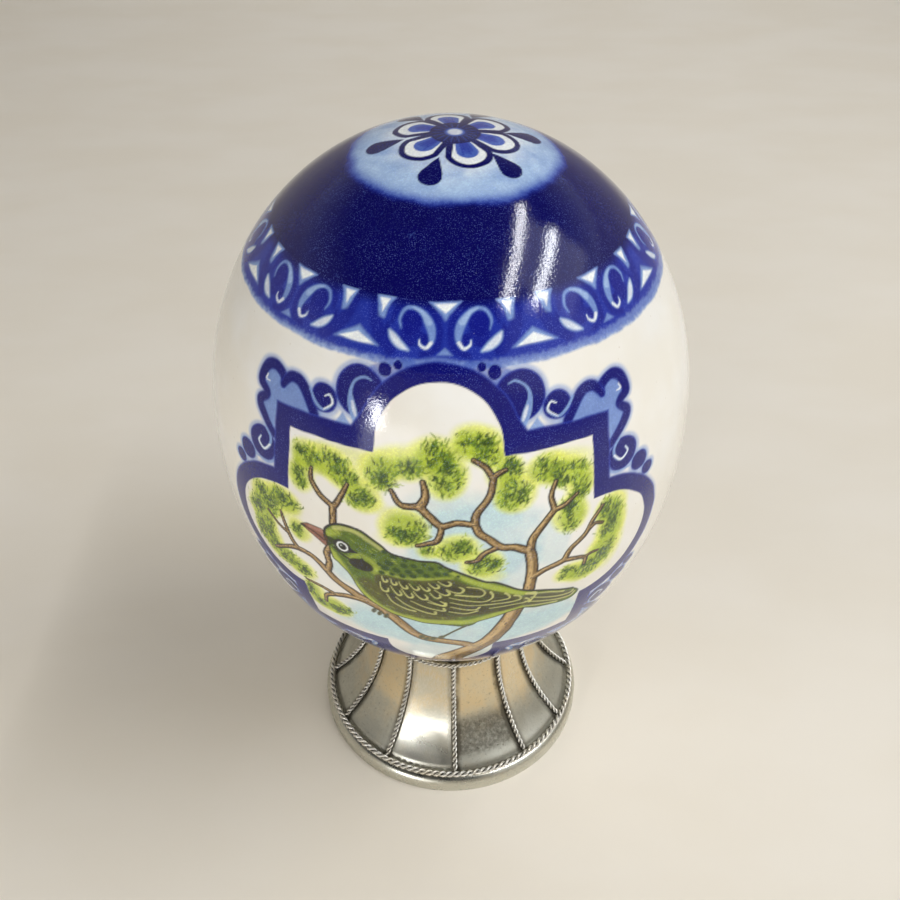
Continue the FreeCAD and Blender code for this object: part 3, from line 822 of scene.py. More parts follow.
# Long feathers are (x, y) places from root to tip, where the line hooks upwards.
LONG_FEATHERS = (
    ((6.5, -3.2), (9.4, -4.2), (10.6, -5.9), (9.8, -7.2), (7.5, -6.9), (4.0, -6.1)),
    ((2.6, -7.2), (6.0, -8.5), (10.2, -9.6), (12.2, -8.8), (12.6, -7.4), (11.9, -5.8)),
    ((12.4, -9.9), (15.0, -9.9), (16.5, -9.6), (16.3, -8.2), (15.5, -7.2)),
    ((2.8, -9.2), (7.0, -10.8), (12.0, -11.2), (17.5, -11.4), (19.3, -11.0), (18.9, -9.6), (17.7, -8.9)),
    ((2.8, -11.3), (6.0, -12.5), (8.6, -12.9), (9.4, -12.0)),
    ((12.0, -12.9), (17.0, -12.9), (20.8, -13.0), (21.6, -12.2), (20.6, -11.2)),
    ((2.4, -13.4), (6.0, -14.3), (8.0, -14.0), (9.0, -13.6)),
    ((-12.2, -8.2), (-10.8, -11.2), (-7.8, -13.4), (-5.6, -14.0)),
    ((-10.0, -8.8), (-7.4, -11.8), (-3.6, -13.8), (-1.0, -14.6), (-0.8, -13.6)),
    ((-6.4, -9.6), (-3.4, -11.6), (-0.2, -12.8), (1.4, -13.0), (1.2, -12.0)),
    ((-2.4, -9.6), (0.2, -10.6), (1.6, -10.9), (1.7, -9.6)),
)
TAIL_LINES = (
    ((20.6, -9.3), (26.0, -11.2), (30.6, -13.6)),
    ((22.0, -11.4), (26.0, -13.6), (30.4, -15.4), (32.8, -15.8), (33.2, -15.0)),
    ((20.6, -12.7), (25.0, -14.8), (29.4, -16.6), (32.6, -17.4), (33.8, -16.2)),
    ((20.2, -14.8), (24.6, -16.2), (29.0, -17.6)),
)


def thin(places, width, tip=None):
    """Places of a line whose width grows from width to tip."""
    tip = width if tip is None else tip
    shares = np.linspace(0, 1, len(places))
    return [(x, y, width + (tip - width) * share) for (x, y), share in zip(places, shares)]


def paint_feather(pen, x, y, way, length, width):
    """A narrow hook with a thick pale end: down one side, round the tip, and part of the way up the other."""
    ahead = np.array(heading(way))
    across = np.array([-ahead[1], ahead[0]])
    tip = np.array([x, y])
    rows = []
    for back, side, thick in HOOK:
        place = tip - ahead * length * back + across * width * side
        rows.append((place[0], place[1], thick))
    middle = tip - ahead * length * 0.35
    oval(pen, *middle, length * 0.42, width * 0.4, INK, lean=way, soft=0.5, strength=0.55)
    stroke(pen, rows, FEATHER_PALE, strength=0.92)


BELLY = ((-25.6, 3.2), (-22.6, -1.4), (-20.6, -6.0), (-17.6, -10.8), (-13.0, -15.4), (-6.0, -18.0),
         (2.0, -18.6), (8.0, -18.2), (14.0, -16.2), (19.0, -15.0))
# Soft tints kept inside the bird's outline: places with widths, colour, soft edge, strength.
BODY_TINTS = (
    (((-16.8, -5.5, 4), (-13.0, -10.5, 6), (-6.0, -15.0, 6), (2.0, -17.0, 4)), FEATHER_OLIVE, 2.5, 0.85),
    (thin(BELLY, 1.6, 2.2), FEATHER_LIME, 1.2, 0.85),
    (((-23.6, 11.0, 1.4), (-20.0, 12.0, 1.2), (-16.4, 10.6, 1.0), (-12.4, 7.6, 1.0)),
     FEATHER_PALE, 0.7, 0.75),
    (((3.0, 2.0, 1.0), (8.0, -1.6, 1.6), (13.0, -4.4, 1.9), (19.0, -8.3, 1.5), (21.0, -9.4, 1.0)),
     FEATHER_LIME, 1.1, 0.85),
    (((-25.6, 8.6, 1.8), (-24.4, 9.4, 2.2), (-22.8, 9.9, 1.6)), FEATHER_LIME, 1.4, 0.7),
    (((-14.6, 0.8, 1.4), (-9.0, -0.7, 1.2), (-2.0, -0.4, 1.2), (3.0, 0.2, 1.0)), FEATHER_LIME, 1.1, 0.6),
    (((-20.4, 2.2, 1.4), (-17.8, 4.4, 1.6), (-14.4, 2.2, 1.8), (-14.6, -0.8, 1.6)), FEATHER_LIME, 1.4, 0.55),
)
BODY_DABS = 420
WING_DABS = 520
BEAK_OUTLINE = ((-33.1, 8.1), (-31.3, 9.3), (-28.5, 9.5), (-26.5, 9.2), (-25.7, 6.4), (-26.2, 4.0),
                (-28.0, 5.0), (-30.5, 6.3))
BEAK_LIGHT = tone(176, 128, 110)
PUPIL = (-22.05, 5.8)


def dab_shape(pen, outline, start, slope, length, widths, margin):
    """A small straight dab kept inside an outline: the pen's points near it, and how much it covers them."""
    x, y = start
    end = (x + length * math.cos(slope), y + length * math.sin(slope), widths[1])
    path = np.array([(x, y, widths[0]), end])
    local = pen.near(path, 1.0)
    if not len(local.x):
        return None, None
    inside = edge(outline_depth(local, outline) - margin, 0.6)
    return local, edge(stroke_depth(local, path), SOFT) * inside


def paint_body(pen, rng):
    """The body's green, its lime and olive tints, and its short downy dabs."""
    body = smooth_path(BIRD, 3, closed=True)
    fill(pen, body, FEATHER_GREEN)
    inside = pen.near(body, 0.5)
    keep = edge(outline_depth(inside, body), SOFT)
    for places, colour, soft, strength in BODY_TINTS:
        tint = edge(stroke_depth(inside, smooth_path(places)), soft)
        inside.lay(colour, tint * keep * strength)
    for _ in range(BODY_DABS):
        start = rng.uniform(-26, 6), rng.uniform(-17, 12)
        slope = math.radians(rng.normal(-38, 16))
        length = rng.uniform(0.5, 1.5)
        colour = (FEATHER_DARK, FEATHER_LIME, LEAF_MID)[int(rng.integers(3))]
        local, shape = dab_shape(inside, body, start, slope, length, (0.28, 0.16), 0.9)
        if local:
            local.lay(colour, shape * rng.uniform(0.25, 0.7))
    return inside


def paint_wing(pen, inside, rng):
    """The olive wing with its grain and hooked feathers, and the grey tail."""
    wing = smooth_path(WING, 4, closed=True)
    fill(pen, wing, FEATHER_OLIVE, soft=0.8, strength=0.95)
    fill(pen, wing, FEATHER_DARK, grow=-0.8, soft=1.6, strength=0.55)
    for _ in range(WING_DABS):
        x, y = rng.uniform(-14, 21), rng.uniform(-16, 0)
        slope = math.radians(-62 + 2.1 * (x + 14) + rng.normal(0, 9))
        length = rng.uniform(0.8, 2.2)
        local, shape = dab_shape(inside, wing, (x, y), slope, length, (0.3, 0.18), 0.3)
        if local:
            local.lay(INK if rng.random() < 0.62 else FEATHER_GREEN, shape * rng.uniform(0.25, 0.7))
    fill(pen, TAIL, FEATHER_GREY, soft=0.5, strength=0.95)
    fill(pen, TAIL, FEATHER_DARK, grow=-0.5, soft=0.8, strength=0.55)
    for x, y, way, length, width in SMALL_FEATHERS:
        paint_feather(pen, x, y, way, length, width)
    for places in LONG_FEATHERS:
        stroke(pen, thin(places, 0.3, 0.62), FEATHER_PALE, strength=0.85)
    for places in TAIL_LINES:
        stroke(pen, thin(places, 0.4, 0.6), FEATHER_PALE, strength=0.8)
    stroke(pen, ((20.6, -9.2, 0.8), (22.6, -9.9, 1.2), (23.0, -11.0, 0.6), (21.6, -13.4, 0.5)), FEATHER_PALE)


def paint_face(pen):
    """The eye in its dark mask, the cheek patch and the beak."""
    oval(pen, -22.1, 5.8, 2.25, 2.2, INK, soft=0.4, strength=0.92)
    stroke(pen, ((-21.0, 5.4, 2.2), (-19.6, 5.2, 1.2), (-18.2, 5.0, 0.2)), INK)
    stroke(pen, ((-23.8, 6.2, 1.6), (-25.2, 6.6, 2.4), (-25.6, 5.4, 1.6)), INK, strength=0.75)
    stroke(pen, ((-24.4, 4.6, 0.6), (-22.6, 3.0, 0.6), (-20.4, 1.8, 0.8)), INK, strength=0.85)
    stroke(pen, thin(arc_places(*PUPIL, 1.3, 0, 360), 0.42), CHALK, steps=2)
    oval(pen, -22.4, 6.1, 0.25, 0.22, CHALK, strength=0.6)
    oval(pen, -17.8, 0.9, 3.0, 2.05, FEATHER_DARK, lean=-8, soft=0.4)
    oval(pen, -17.9, 0.9, 2.6, 1.6, INK, lean=-8, soft=0.8, strength=0.7)
    fill(pen, ((-18.4, 2.3), (-16.6, 2.3), (-17.35, 3.8)), INK, soft=0.4, strength=0.9)
    fill(pen, BEAK_OUTLINE, BEAK)
    stroke(pen, thin(((-32.4, 8.0), (-29.4, 7.3), (-26.6, 6.0)), 0.5, 0.7), INK, strength=0.7)
    stroke(pen, thin(((-30.6, 8.6), (-28.4, 8.7), (-26.8, 8.4)), 0.9), BEAK_LIGHT, soft=0.5, strength=0.7)
    stroke(pen, thin(BEAK_OUTLINE + BEAK_OUTLINE[:1], 0.3), INK, steps=2, strength=0.75)
    oval(pen, -32.5, 8.0, 0.8, 0.5, INK, lean=10, strength=0.8)


def paint_feet(pen):
    """One leg behind the branch, and two rows of toes over it."""
    stroke(pen, ((6.5, -20.4, 0.9), (3.4, -23.6, 0.7), (1.0, -26.6, 0.8)), FEATHER_GREY)
    stroke(pen, thin(((6.4, -20.6), (3.2, -23.8), (0.9, -26.8)), 0.3), INK, strength=0.6)
    for x, y in ((-4.4, -27.6), (-3.2, -28.6), (-1.6, -28.2), (0.4, -27.2)):
        oval(pen, x, y, 0.75, 1.2, FEATHER_GREY, lean=-25, soft=0.35)
        stroke(pen, thin(((x - 0.5, y - 1.0), (x, y), (x + 0.3, y + 1.1)), 0.25), INK, strength=0.6)
    for x, y in ((-15.8, -17.3), (-14.4, -18.0), (-12.8, -18.6)):
        oval(pen, x, y, 0.65, 1.3, FEATHER_GREY, lean=-20, soft=0.35)
        stroke(pen, thin(((x - 0.3, y - 1.3), (x - 0.1, y), (x + 0.5, y + 1.2)), 0.3), INK, strength=0.6)


def paint_bird(pen):
    rng = np.random.default_rng(21)
    inside = paint_body(pen, rng)
    paint_wing(pen, inside, rng)
    for x, y, radius in NAPE_SPOTS:
        oval(pen, x, y, radius * 1.1, radius * 0.9, LEAF_DARK, lean=-30, soft=0.45)
    paint_face(pen)
    stroke(pen, thin(BACK_LINE, 0.65, 0.7), INK, strength=0.95)
    stroke(pen, thin(BIRD[18:] + BIRD[:1], 0.42), FEATHER_DARK, strength=0.85)
    paint_feet(pen)


def paint_panel(sheet, facing):
    x, y = panel_chart(sheet.points, facing)
    pen = Pen(sheet, x + sheet.wobble_x, y + sheet.wobble_y)
    paint_frame(pen)
    window = pen.near(WINDOW, 1.0)
    if not len(window.x):
        return
    before_colour = sheet.colour[window.at].copy()
    before_cover = sheet.cover[window.at].copy()
    paint_sky(window)
    paint_leaves(window)
    paint_branches(window)
    paint_bird(window)
    outside = 1 - edge(outline_depth(window, WINDOW), 0.3)
    share = outside[:, None]
    sheet.colour[window.at] = sheet.colour[window.at] * (1 - share) + before_colour * share
    sheet.cover[window.at] = sheet.cover[window.at] * (1 - outside) + before_cover * outside


def paint_egg(points):
    """Everything that is painted on the egg, worked out for any points on its surface."""
    sheet = Sheet(points)
    azimuth = np.arctan2(points[:, 0], -points[:, 1])
    arc = crown_arc_of(points)
    paint_band(sheet, azimuth, arc)
    paint_medallion(sheet, azimuth, arc)
    for facing in (PANEL_AZIMUTH, PANEL_AZIMUTH + math.pi):
        paint_panel(sheet, facing)
    return sheet


# ======================================================================
# Paint films: thin closed skins that lie on the shell wherever it is painted
# ======================================================================
BLOCK = 4                  # a film's smooth underside has one face for BLOCK x BLOCK faces on top
PANEL_LIFT = 0.012         # lift off the shell
BAND_LIFT = 0.02           # the band's film lies over the others' rims
RIM_LIFT = -0.012          # a film's rim is bedded in the shell, so that no step shows
FILM_UNDERSIDE = -0.016
RIM_CELLS = 4              # the film rises from its rim over this many faces
LEAST_COVER = 1e-4         # keeps bare points from dividing by nothing


def grow_blocks(kept, wrap):
    """Fills the diagonal gaps in a map of blocks, so that the film's rim never pinches to a point."""
    for _ in range(8):
        right = np.roll(kept, -1, axis=1) if wrap else np.pad(kept[:, 1:], ((0, 0), (0, 1)))
        diagonal = kept[:-1] & right[1:] & ~kept[1:] & ~right[:-1]
        other = kept[1:] & right[:-1] & ~kept[:-1] & ~right[1:]
        if not diagonal.any() and not other.any():
            break
        kept[1:] |= diagonal
        kept[:-1] |= other
    return kept


def neighbours(values, wrap):
    """A map's eight neighbouring values and its own, stacked; nothing lies beyond an open edge."""
    rows = np.pad(values, ((1, 1), (0, 0)))
    both = np.pad(rows, ((0, 0), (1, 1)), mode="wrap") if wrap else np.pad(rows, ((0, 0), (1, 1)))
    up, across = values.shape
    return np.array([both[i:i + up, j:j + across] for i in range(3) for j in range(3)])


def rise_from_rim(fine, wrap):
    """0 at a film's rim and 1 well inside it, for each corner of its faces."""
    faces = np.pad(fine, ((1, 1), (0, 0)))
    left = np.roll(faces, 1, axis=1) if wrap else np.pad(faces, ((0, 0), (1, 0)))
    right = faces if wrap else np.pad(faces, ((0, 0), (0, 1)))
    inside = left[:-1] & left[1:] & right[:-1] & right[1:]
    rise = np.zeros(inside.shape)
    for _ in range(RIM_CELLS):
        rise += inside / RIM_CELLS
        inside = neighbours(inside, wrap).all(axis=0)
    return ease(rise)


def painted_blocks(marked, wrap):
    """The blocks of faces that hold a marked point, and the blocks round them."""
    up, across = marked.shape
    blocks_up, blocks_across = (up - 1) // BLOCK, (across - (not wrap)) // BLOCK
    kept = np.zeros((blocks_up, blocks_across), bool)
    for up_step in range(BLOCK + 1):
        for side_step in range(BLOCK + 1):
            cells = marked[up_step:up_step + blocks_up * BLOCK:BLOCK]
            kept |= np.roll(cells, -side_step, axis=1)[:, ::BLOCK][:, :blocks_across]
    return grow_blocks(neighbours(kept, wrap).any(axis=0), wrap)


def quads_at(corners, rows, columns):
    """Faces at some cells of a grid of corner numbers."""
    return np.stack([
        corners[rows, columns],
        corners[rows, columns + 1],
        corners[rows + 1, columns + 1],
        corners[rows + 1, columns],
    ], axis=1)


def film_sides(kept, top, under, wrap):
    """Faces that join a film's top to its underside wherever a kept block has no neighbour."""
    blocks_up, blocks_across = kept.shape
    faces = []
    for row, column in zip(*np.nonzero(kept)):
        along_row = slice(column * BLOCK, (column + 1) * BLOCK + 1)
        along_column = slice(row * BLOCK, (row + 1) * BLOCK + 1)
        next_row, next_column = row + 1, column + 1
        sides = (
            # the neighbour, the side's corners on top, and the two below
            (row - 1, column, top[row * BLOCK, along_row][::-1], (row, column), (row, next_column)),
            (next_row, column, top[next_row * BLOCK, along_row], (next_row, next_column), (next_row, column)),
            (row, column - 1, top[along_column, column * BLOCK], (next_row, column), (row, column)),
            (row, next_column, top[along_column, next_column * BLOCK][::-1], (row, next_column),
             (next_row, next_column)),
        )
        for beside_row, beside_column, rim, first, last in sides:
            if wrap:
                beside_column %= blocks_across
            within = 0 <= beside_row < blocks_up and 0 <= beside_column < blocks_across
            if not within or not kept[beside_row, beside_column]:
                faces.append([*rim, under[first], under[last]])
    return np.array(faces)


def film(name, columns, rows, place, wanted, lift, wrap=False):
    """A closed film over the painted blocks of a lattice.

    columns and rows are the lattice's chart coordinates, place turns them into turn and azimuth, and wanted
    says which points may be covered. With wrap, the last column joins the first.
    """
    up, across = len(rows), len(columns)
    grid_x, grid_y = np.meshgrid(columns, rows)
    turn, azimuth = place(grid_x.ravel(), grid_y.ravel())
    points = on_egg(turn, azimuth)
    sheet = paint_egg(points)
    kept = painted_blocks((sheet.touched & wanted(points)).reshape(up, across), wrap)

    top = np.arange(up * across).reshape(up, across)
    if wrap:
        top = np.hstack([top, top[:, :1]])
    under = top[::BLOCK, ::BLOCK] + up * across
    fine = np.repeat(np.repeat(kept, BLOCK, axis=0), BLOCK, axis=1)
    top_faces = quads_at(top, *np.nonzero(fine))
    under_faces = quads_at(under, *np.nonzero(kept))[:, [0, 3, 2, 1]]
    groups = [top_faces, under_faces, film_sides(kept, top, under, wrap)]

    cells = np.zeros((up - 1, across - (not wrap)), bool)
    cells[:fine.shape[0], :fine.shape[1]] = fine
    top_lift = RIM_LIFT + (lift - RIM_LIFT) * rise_from_rim(cells, wrap).ravel()
    everything = np.vstack([on_egg(turn, azimuth, top_lift), on_egg(turn, azimuth, FILM_UNDERSIDE)])
    used = np.zeros(len(everything), bool)
    for group in groups:
        used[group] = True
    renumber = np.cumsum(used) - 1
    piece = build_mesh(name, everything[used], *[renumber[group] for group in groups], smooth_groups=1)
    cover = np.tile(sheet.cover, 2)[used]
    colour = np.tile(sheet.colour, (2, 1))[used] / np.maximum(cover, LEAST_COVER)[:, None]
    store(piece, "paint", "FLOAT_VECTOR", np.clip(colour, 0, 1))
    store(piece, "cover", "FLOAT", cover)
    return piece


FILM_STEP = 0.27           # spacing of a film's points
MEDALLION_FILM_REACH = 29.0
BAND_FILM_START = 25.2     # mm from the crown to the band's film, which begins over the medallion's rim
BAND_FILM_END_HEIGHT = 124.6
PANEL_TOP_HEIGHT = 126.8   # the panels' films stop here, under the band's
PANEL_HALF_WIDTH = 62.0
PANEL_HALF_HEIGHT = 56.0
BAND_RADIUS = 45.0         # about the egg's radius at the band, for the film's spacing round it


def steps_between(low, high, step, spare):
    """Evenly spaced values whose count is a whole number of blocks plus spare."""
    blocks = round((high - low) / step / BLOCK)
    return np.linspace(low, high, blocks * BLOCK + 1)[:blocks * BLOCK + spare]


def make_paint():
    """The films: crown, scroll band with its field, front panel, and the same panel again at the back."""
    def crown_place(x, y):
        return turn_at_arc(np.hypot(x, y)), np.arctan2(x, -y)

    span = steps_between(-MEDALLION_FILM_REACH, MEDALLION_FILM_REACH, FILM_STEP, 1)
    medallion = film("paint_medallion", span, span, crown_place,
                     lambda p: crown_arc_of(p) < MEDALLION_FILM_REACH - 2, PANEL_LIFT)

    def ring_place(azimuth, arc):
        return turn_at_arc(-arc), azimuth

    azimuths = steps_between(-math.pi, math.pi, FILM_STEP / BAND_RADIUS, 0)
    arcs = steps_between(-arc_at_height(BAND_FILM_END_HEIGHT), -BAND_FILM_START, FILM_STEP, 1)
    band = film("paint_cap_band", azimuths, arcs, ring_place,
                lambda p: np.ones(len(p), bool), BAND_LIFT, wrap=True)

    panel_columns = steps_between(-PANEL_HALF_WIDTH, PANEL_HALF_WIDTH, FILM_STEP, 1)
    panel_rows = steps_between(-PANEL_HALF_HEIGHT, PANEL_HALF_HEIGHT, FILM_STEP, 1)
    top_z = EGG_TOP - EGG_HEIGHT + PANEL_TOP_HEIGHT
    front = film("paint_front", panel_columns, panel_rows, panel_place,
                 lambda p: p[:, 2] < top_z, PANEL_LIFT)
    back = bpy.data.objects.new("paint_back", front.data.copy())
    bpy.context.scene.collection.objects.link(back)
    turned = np.zeros(len(back.data.vertices) * 3, np.float32)
    back.data.vertices.foreach_get("co", turned)
    back.data.vertices.foreach_set("co", (turned.reshape(-1, 3) * (-1, -1, 1)).astype(np.float32).ravel())
    return [medallion, band, front, back]


SHELL_SIDES = 240
SHELL_OUTER_RINGS = 150
SHELL_INNER_RINGS = 60
HOLE_RIM_RINGS = 5
HOLE_RIM_BULGE = 0.5       # how far the hole's rim rounds inwards
POLE_GAP = 0.02            # turn left between a pole and the first ring round it


def make_shell():
    """The bare shell, hollow, with a rounded rim round the hole it was emptied through."""
    hole_turn = turn_at_radius(BLOW_HOLE_RADIUS + HOLE_RIM_BULGE)
    azimuth = np.linspace(0, 2 * math.pi, SHELL_SIDES, endpoint=False)
    rings = [on_egg(turn, azimuth) for turn in np.linspace(math.pi - POLE_GAP, hole_turn, SHELL_OUTER_RINGS)]
    for bend in np.linspace(0, math.pi, HOLE_RIM_RINGS + 2)[1:-1]:
        ring = on_egg(hole_turn, azimuth, -SHELL_THICKNESS / 2 * (1 - math.cos(bend)))
        pull = HOLE_RIM_BULGE * math.sin(bend) / np.hypot(ring[:, 0], ring[:, 1])
        ring[:, :2] *= (1 - pull)[:, None]
        rings.append(ring)
    inner = np.linspace(hole_turn, math.pi - POLE_GAP, SHELL_INNER_RINGS)
    rings += [on_egg(turn, azimuth, -SHELL_THICKNESS) for turn in inner]
    return spun_skin("egg_ivory", rings, EGG_TOP, EGG_TOP - SHELL_THICKNESS)


# ======================================================================
# Metalwork
# ======================================================================
# Seams between the skirt's gores, in degrees to the right of the front; pieced by hand and uneven.
SEAMS = (2.0, 36.0, 62.0, 92.0, 122.0, 152.0, 182.0, 212.0, 242.0, 271.0, 299.5, 329.3)
SKIRT_BOTTOM = (39.3, 7.2)  # the seams' curve is one arc through these radii and heights
SKIRT_WAIST = (29.5, 20.2)
SKIRT_TOP = (24.3, 40.0)
RIB_RISE = 0.75            # the wires' middles lie this far over the seams
RIB_WIRE = 0.8
RIB_FOOT_RADIUS = 40.3     # the ribs run down the gores' feet as far as the rope
ROPE_SIDES = 12
STRAND_SHARE = 0.53        # a strand's radius as a share of its rope's
CUP_LIFT = 1.6             # the cup's inside lies this far off the egg, with the felt between
CUP_WALL = 1.2
CUP_MOUTH_RADIUS = 28.0
CUP_SIDES = 160
CUP_RINGS = 40
CUP_LIP_RINGS = 7
GORE_THICKNESS = 0.9
SEAM_HALF_GAP = 0.35
GORE_FOOT = (40.5, 5.75)   # where a gore's turned-out foot meets the rope, as radius and height
GORE_FOOT_BEND = (0.55, 0.25)   # the foot's curve is drawn towards a place this far past its ends
GORE_ACROSS = 22           # faces across a gore and up it
GORE_UP = 60
GORE_ROUNDNESS = 0.22      # 0 is flat across, 1 follows the skirt's circle, as the foot does
GORE_ROUND_BELOW = 17.0    # a gore rounds out from this height down, over the next stretch
GORE_ROUND_STRETCH = 9.5
DENT_SIZES = (9.0, 4.0)    # mm across the broad dents and the small ones


def make_cup():
    """The spun cup under the felt: a thin bowl that follows the egg's bottom, with a rounded lip."""
    mouth = turn_at_radius(CUP_MOUTH_RADIUS)
    azimuth = np.linspace(0, 2 * math.pi, CUP_SIDES, endpoint=False)
    nudge = 0.01
    mm_per_turn = np.linalg.norm(on_egg(mouth + nudge, azimuth[:1]) - on_egg(mouth, azimuth[:1])) / nudge
    bowl = np.linspace(0.03, mouth, CUP_RINGS)
    rings = [on_egg(turn, azimuth, CUP_LIFT) for turn in bowl]
    for bend in np.linspace(0, math.pi, CUP_LIP_RINGS + 2)[1:-1]:
        beyond = CUP_WALL / 2 * math.sin(bend) / mm_per_turn
        rings.append(on_egg(mouth + beyond, azimuth, CUP_LIFT + CUP_WALL / 2 * (1 - math.cos(bend))))
    rings += [on_egg(turn, azimuth, CUP_LIFT + CUP_WALL) for turn in bowl[::-1]]
    bottom = EGG_TOP - EGG_HEIGHT - CUP_LIFT
    return spun_skin("cup_bowl", rings, bottom, bottom - CUP_WALL)


def circle_through(a, b, c):
    """Centre and radius of the circle through three places."""
    ax, ay = a
    bx, by = b
    cx, cy = c
    aa, bb, cc = ax * ax + ay * ay, bx * bx + by * by, cx * cx + cy * cy
    d = 2 * (ax * (by - cy) + bx * (cy - ay) + cx * (ay - by))
    x = (aa * (by - cy) + bb * (cy - ay) + cc * (ay - by)) / d
    y = (aa * (cx - bx) + bb * (ax - cx) + cc * (bx - ax)) / d
    return x, y, math.hypot(ax - x, ay - y)


SEAM_R, SEAM_Z, SEAM_BEND = circle_through(SKIRT_BOTTOM, SKIRT_WAIST, SKIRT_TOP)


def twisted_rope(name, path, first_side, second_side, radius, turns, closed):
    """Two round strands twisted round each other along a path, with flat ends when it is open.

    path, first_side and second_side are arrays of points and of the two directions across the path.
    """
    strand = radius * STRAND_SHARE
    offset = radius - strand
    count = len(path)
    share = np.linspace(0, 1, count, endpoint=not closed)
    points, depth = [], []
    for start in (0.0, math.pi):
        twist = start + 2 * math.pi * turns * share
        outward = np.cos(twist)[:, None] * first_side + np.sin(twist)[:, None] * second_side
        along = -np.sin(twist)[:, None] * first_side + np.cos(twist)[:, None] * second_side
        middle = path + offset * outward
        for side in range(ROPE_SIDES):
            angle = 2 * math.pi * side / ROPE_SIDES
            points.append(middle + strand * (math.cos(angle) * outward + math.sin(angle) * along))
            depth.append(np.full(count, 0.5 + 0.5 * math.cos(angle)))
    columns = 2 * ROPE_SIDES
    leans = np.dot(np.cross(first_side[0], second_side[0]), path[1] - path[0])
    outwards = 1 if leans > 0 else -1
    row = np.arange(count if closed else count - 1)[:, None]
    here, ahead = row * columns, (row + 1) % count * columns
    groups = []
    for first in (0, ROPE_SIDES):
        ring = np.arange(ROPE_SIDES) + first
        next_ring = np.roll(ring, -1)
        quads = np.stack([here + ring, here + next_ring, ahead + next_ring, ahead + ring], axis=-1)
        groups.append(quads.reshape(-1, 4)[:, ::outwards])
        if not closed:
            groups.append(ring[::-1][None])
            groups.append((ring + (count - 1) * columns)[None])
    piece = build_mesh(name, np.array(points).transpose(1, 0, 2).reshape(-1, 3), *groups)
    store(piece, "outside", "FLOAT", np.array(depth).T)
    return piece


def ring_rope(name, node, pitch, samples, share=1.0):
    """A twisted rope in place of a CAD torus, at a share of its thickness."""
    low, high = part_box(node)
    wire = (high.z - low.z) / 2 / MM
    middle_z = (high.z + low.z) / 2 / MM
    ring = high.x / MM - wire
    turns = round(2 * math.pi * ring / pitch)
    azimuth = np.linspace(0, 2 * math.pi, turns * samples, endpoint=False)
    path = around_axis(ring, azimuth, middle_z)
    outward = around_axis(1.0, azimuth, 0.0)
    upward = np.broadcast_to([0.0, 0.0, 1.0], outward.shape)
    return twisted_rope(name, path, outward, upward, wire * share, turns, closed=True)


def lengths_along(radius, height):
    """Length from the first place of a line to each of its places."""
    return np.append(0, np.cumsum(np.hypot(np.diff(radius), np.diff(height))))


def spaced_evenly(radius, height, count):
    """The same line with a count of evenly spaced places."""
    length = lengths_along(radius, height)
    even = np.linspace(0, length[-1], count)
    return np.interp(even, length, radius), np.interp(even, length, height)


def skirt_profile(steps):
    """Radius and height along a seam from the neck down to the turned-out foot, evenly spaced."""
    top = math.asin((SKIRT_TOP[1] - SEAM_Z) / SEAM_BEND)
    bottom = math.asin((SKIRT_BOTTOM[1] - SEAM_Z) / SEAM_BEND)
    angle = np.linspace(top, bottom, 200)
    radius = SEAM_R - SEAM_BEND * np.cos(angle)
    height = SEAM_Z + SEAM_BEND * np.sin(angle)
    t = np.linspace(0, 1, 30)[1:]
    start, end = np.array(SKIRT_BOTTOM), np.array(GORE_FOOT)
    corner = np.array([start[0], end[1]]) + GORE_FOOT_BEND
    foot = (1 - t)[:, None] ** 2 * start + (2 * t * (1 - t))[:, None] * corner + (t * t)[:, None] * end
    return spaced_evenly(np.append(radius, foot[:, 0]), np.append(height, foot[:, 1]), steps)


def make_gore(number, dents):
    """One hammered skirt panel: nearly flat across, rounding out to the rope at its foot.

    dents is how far in mm its surface strays from true.
    """
    seam, after = SEAMS[number - 1], SEAMS[number % len(SEAMS)]
    half = math.radians((after - seam) % 360) / 2
    middle = math.radians(seam) + half
    radius, height = skirt_profile(GORE_UP + 1)
    across = np.linspace(-1, 1, GORE_ACROSS + 1)
    r, u = np.meshgrid(radius, across, indexing="ij")
    z = np.repeat(height[:, None], len(across), axis=1)
    reach = half - SEAM_HALF_GAP / r
    angle = u * reach
    flat_r = r * math.cos(half) / np.cos(angle)
    low = np.clip((GORE_ROUND_BELOW - z) / GORE_ROUND_STRETCH, 0, 1)
    roundness = GORE_ROUNDNESS + (1 - GORE_ROUNDNESS) * low ** 1.6
    out_r = flat_r + (r - flat_r) * roundness
    outer = around_axis(out_r, middle + angle, z).reshape(-1, 3)
    broad, small = noise(outer, DENT_SIZES[0], 100 + number), noise(outer, DENT_SIZES[1], 200 + number)
    wave = broad + 0.5 * small - 0.75
    fade = (np.clip((1 - np.abs(u)) * 4, 0, 1) * np.clip((z - 6) / 4, 0, 1)).ravel()
    outward = around_axis(1.0, (middle + angle).ravel(), 0.5)
    outer = outer + outward * (dents * wave * fade)[:, None]
    inner = outer - around_axis(GORE_THICKNESS, (middle + angle).ravel(), 0.0)

    count = len(outer)
    rows, columns = GORE_UP + 1, GORE_ACROSS + 1
    top = lattice_faces(rows, columns)
    grid = np.arange(count).reshape(rows, columns)
    rims = [grid[0], grid[-1][::-1], grid[::-1, 0], grid[:, -1]]
    sides = [np.stack([rim[:-1], rim[:-1] + count, rim[1:] + count, rim[1:]], axis=1) for rim in rims]
    piece = build_mesh(f"gore_panel_{number:02d}", np.vstack([outer, inner]), top[:, ::-1], top + count,
                       np.vstack(sides)[:, ::-1], smooth_groups=2)
    seam_reach = ((1 - np.abs(u)) * reach * r).ravel()
    store(piece, "seam_mm", "FLOAT", np.tile(seam_reach, 2))
    return piece


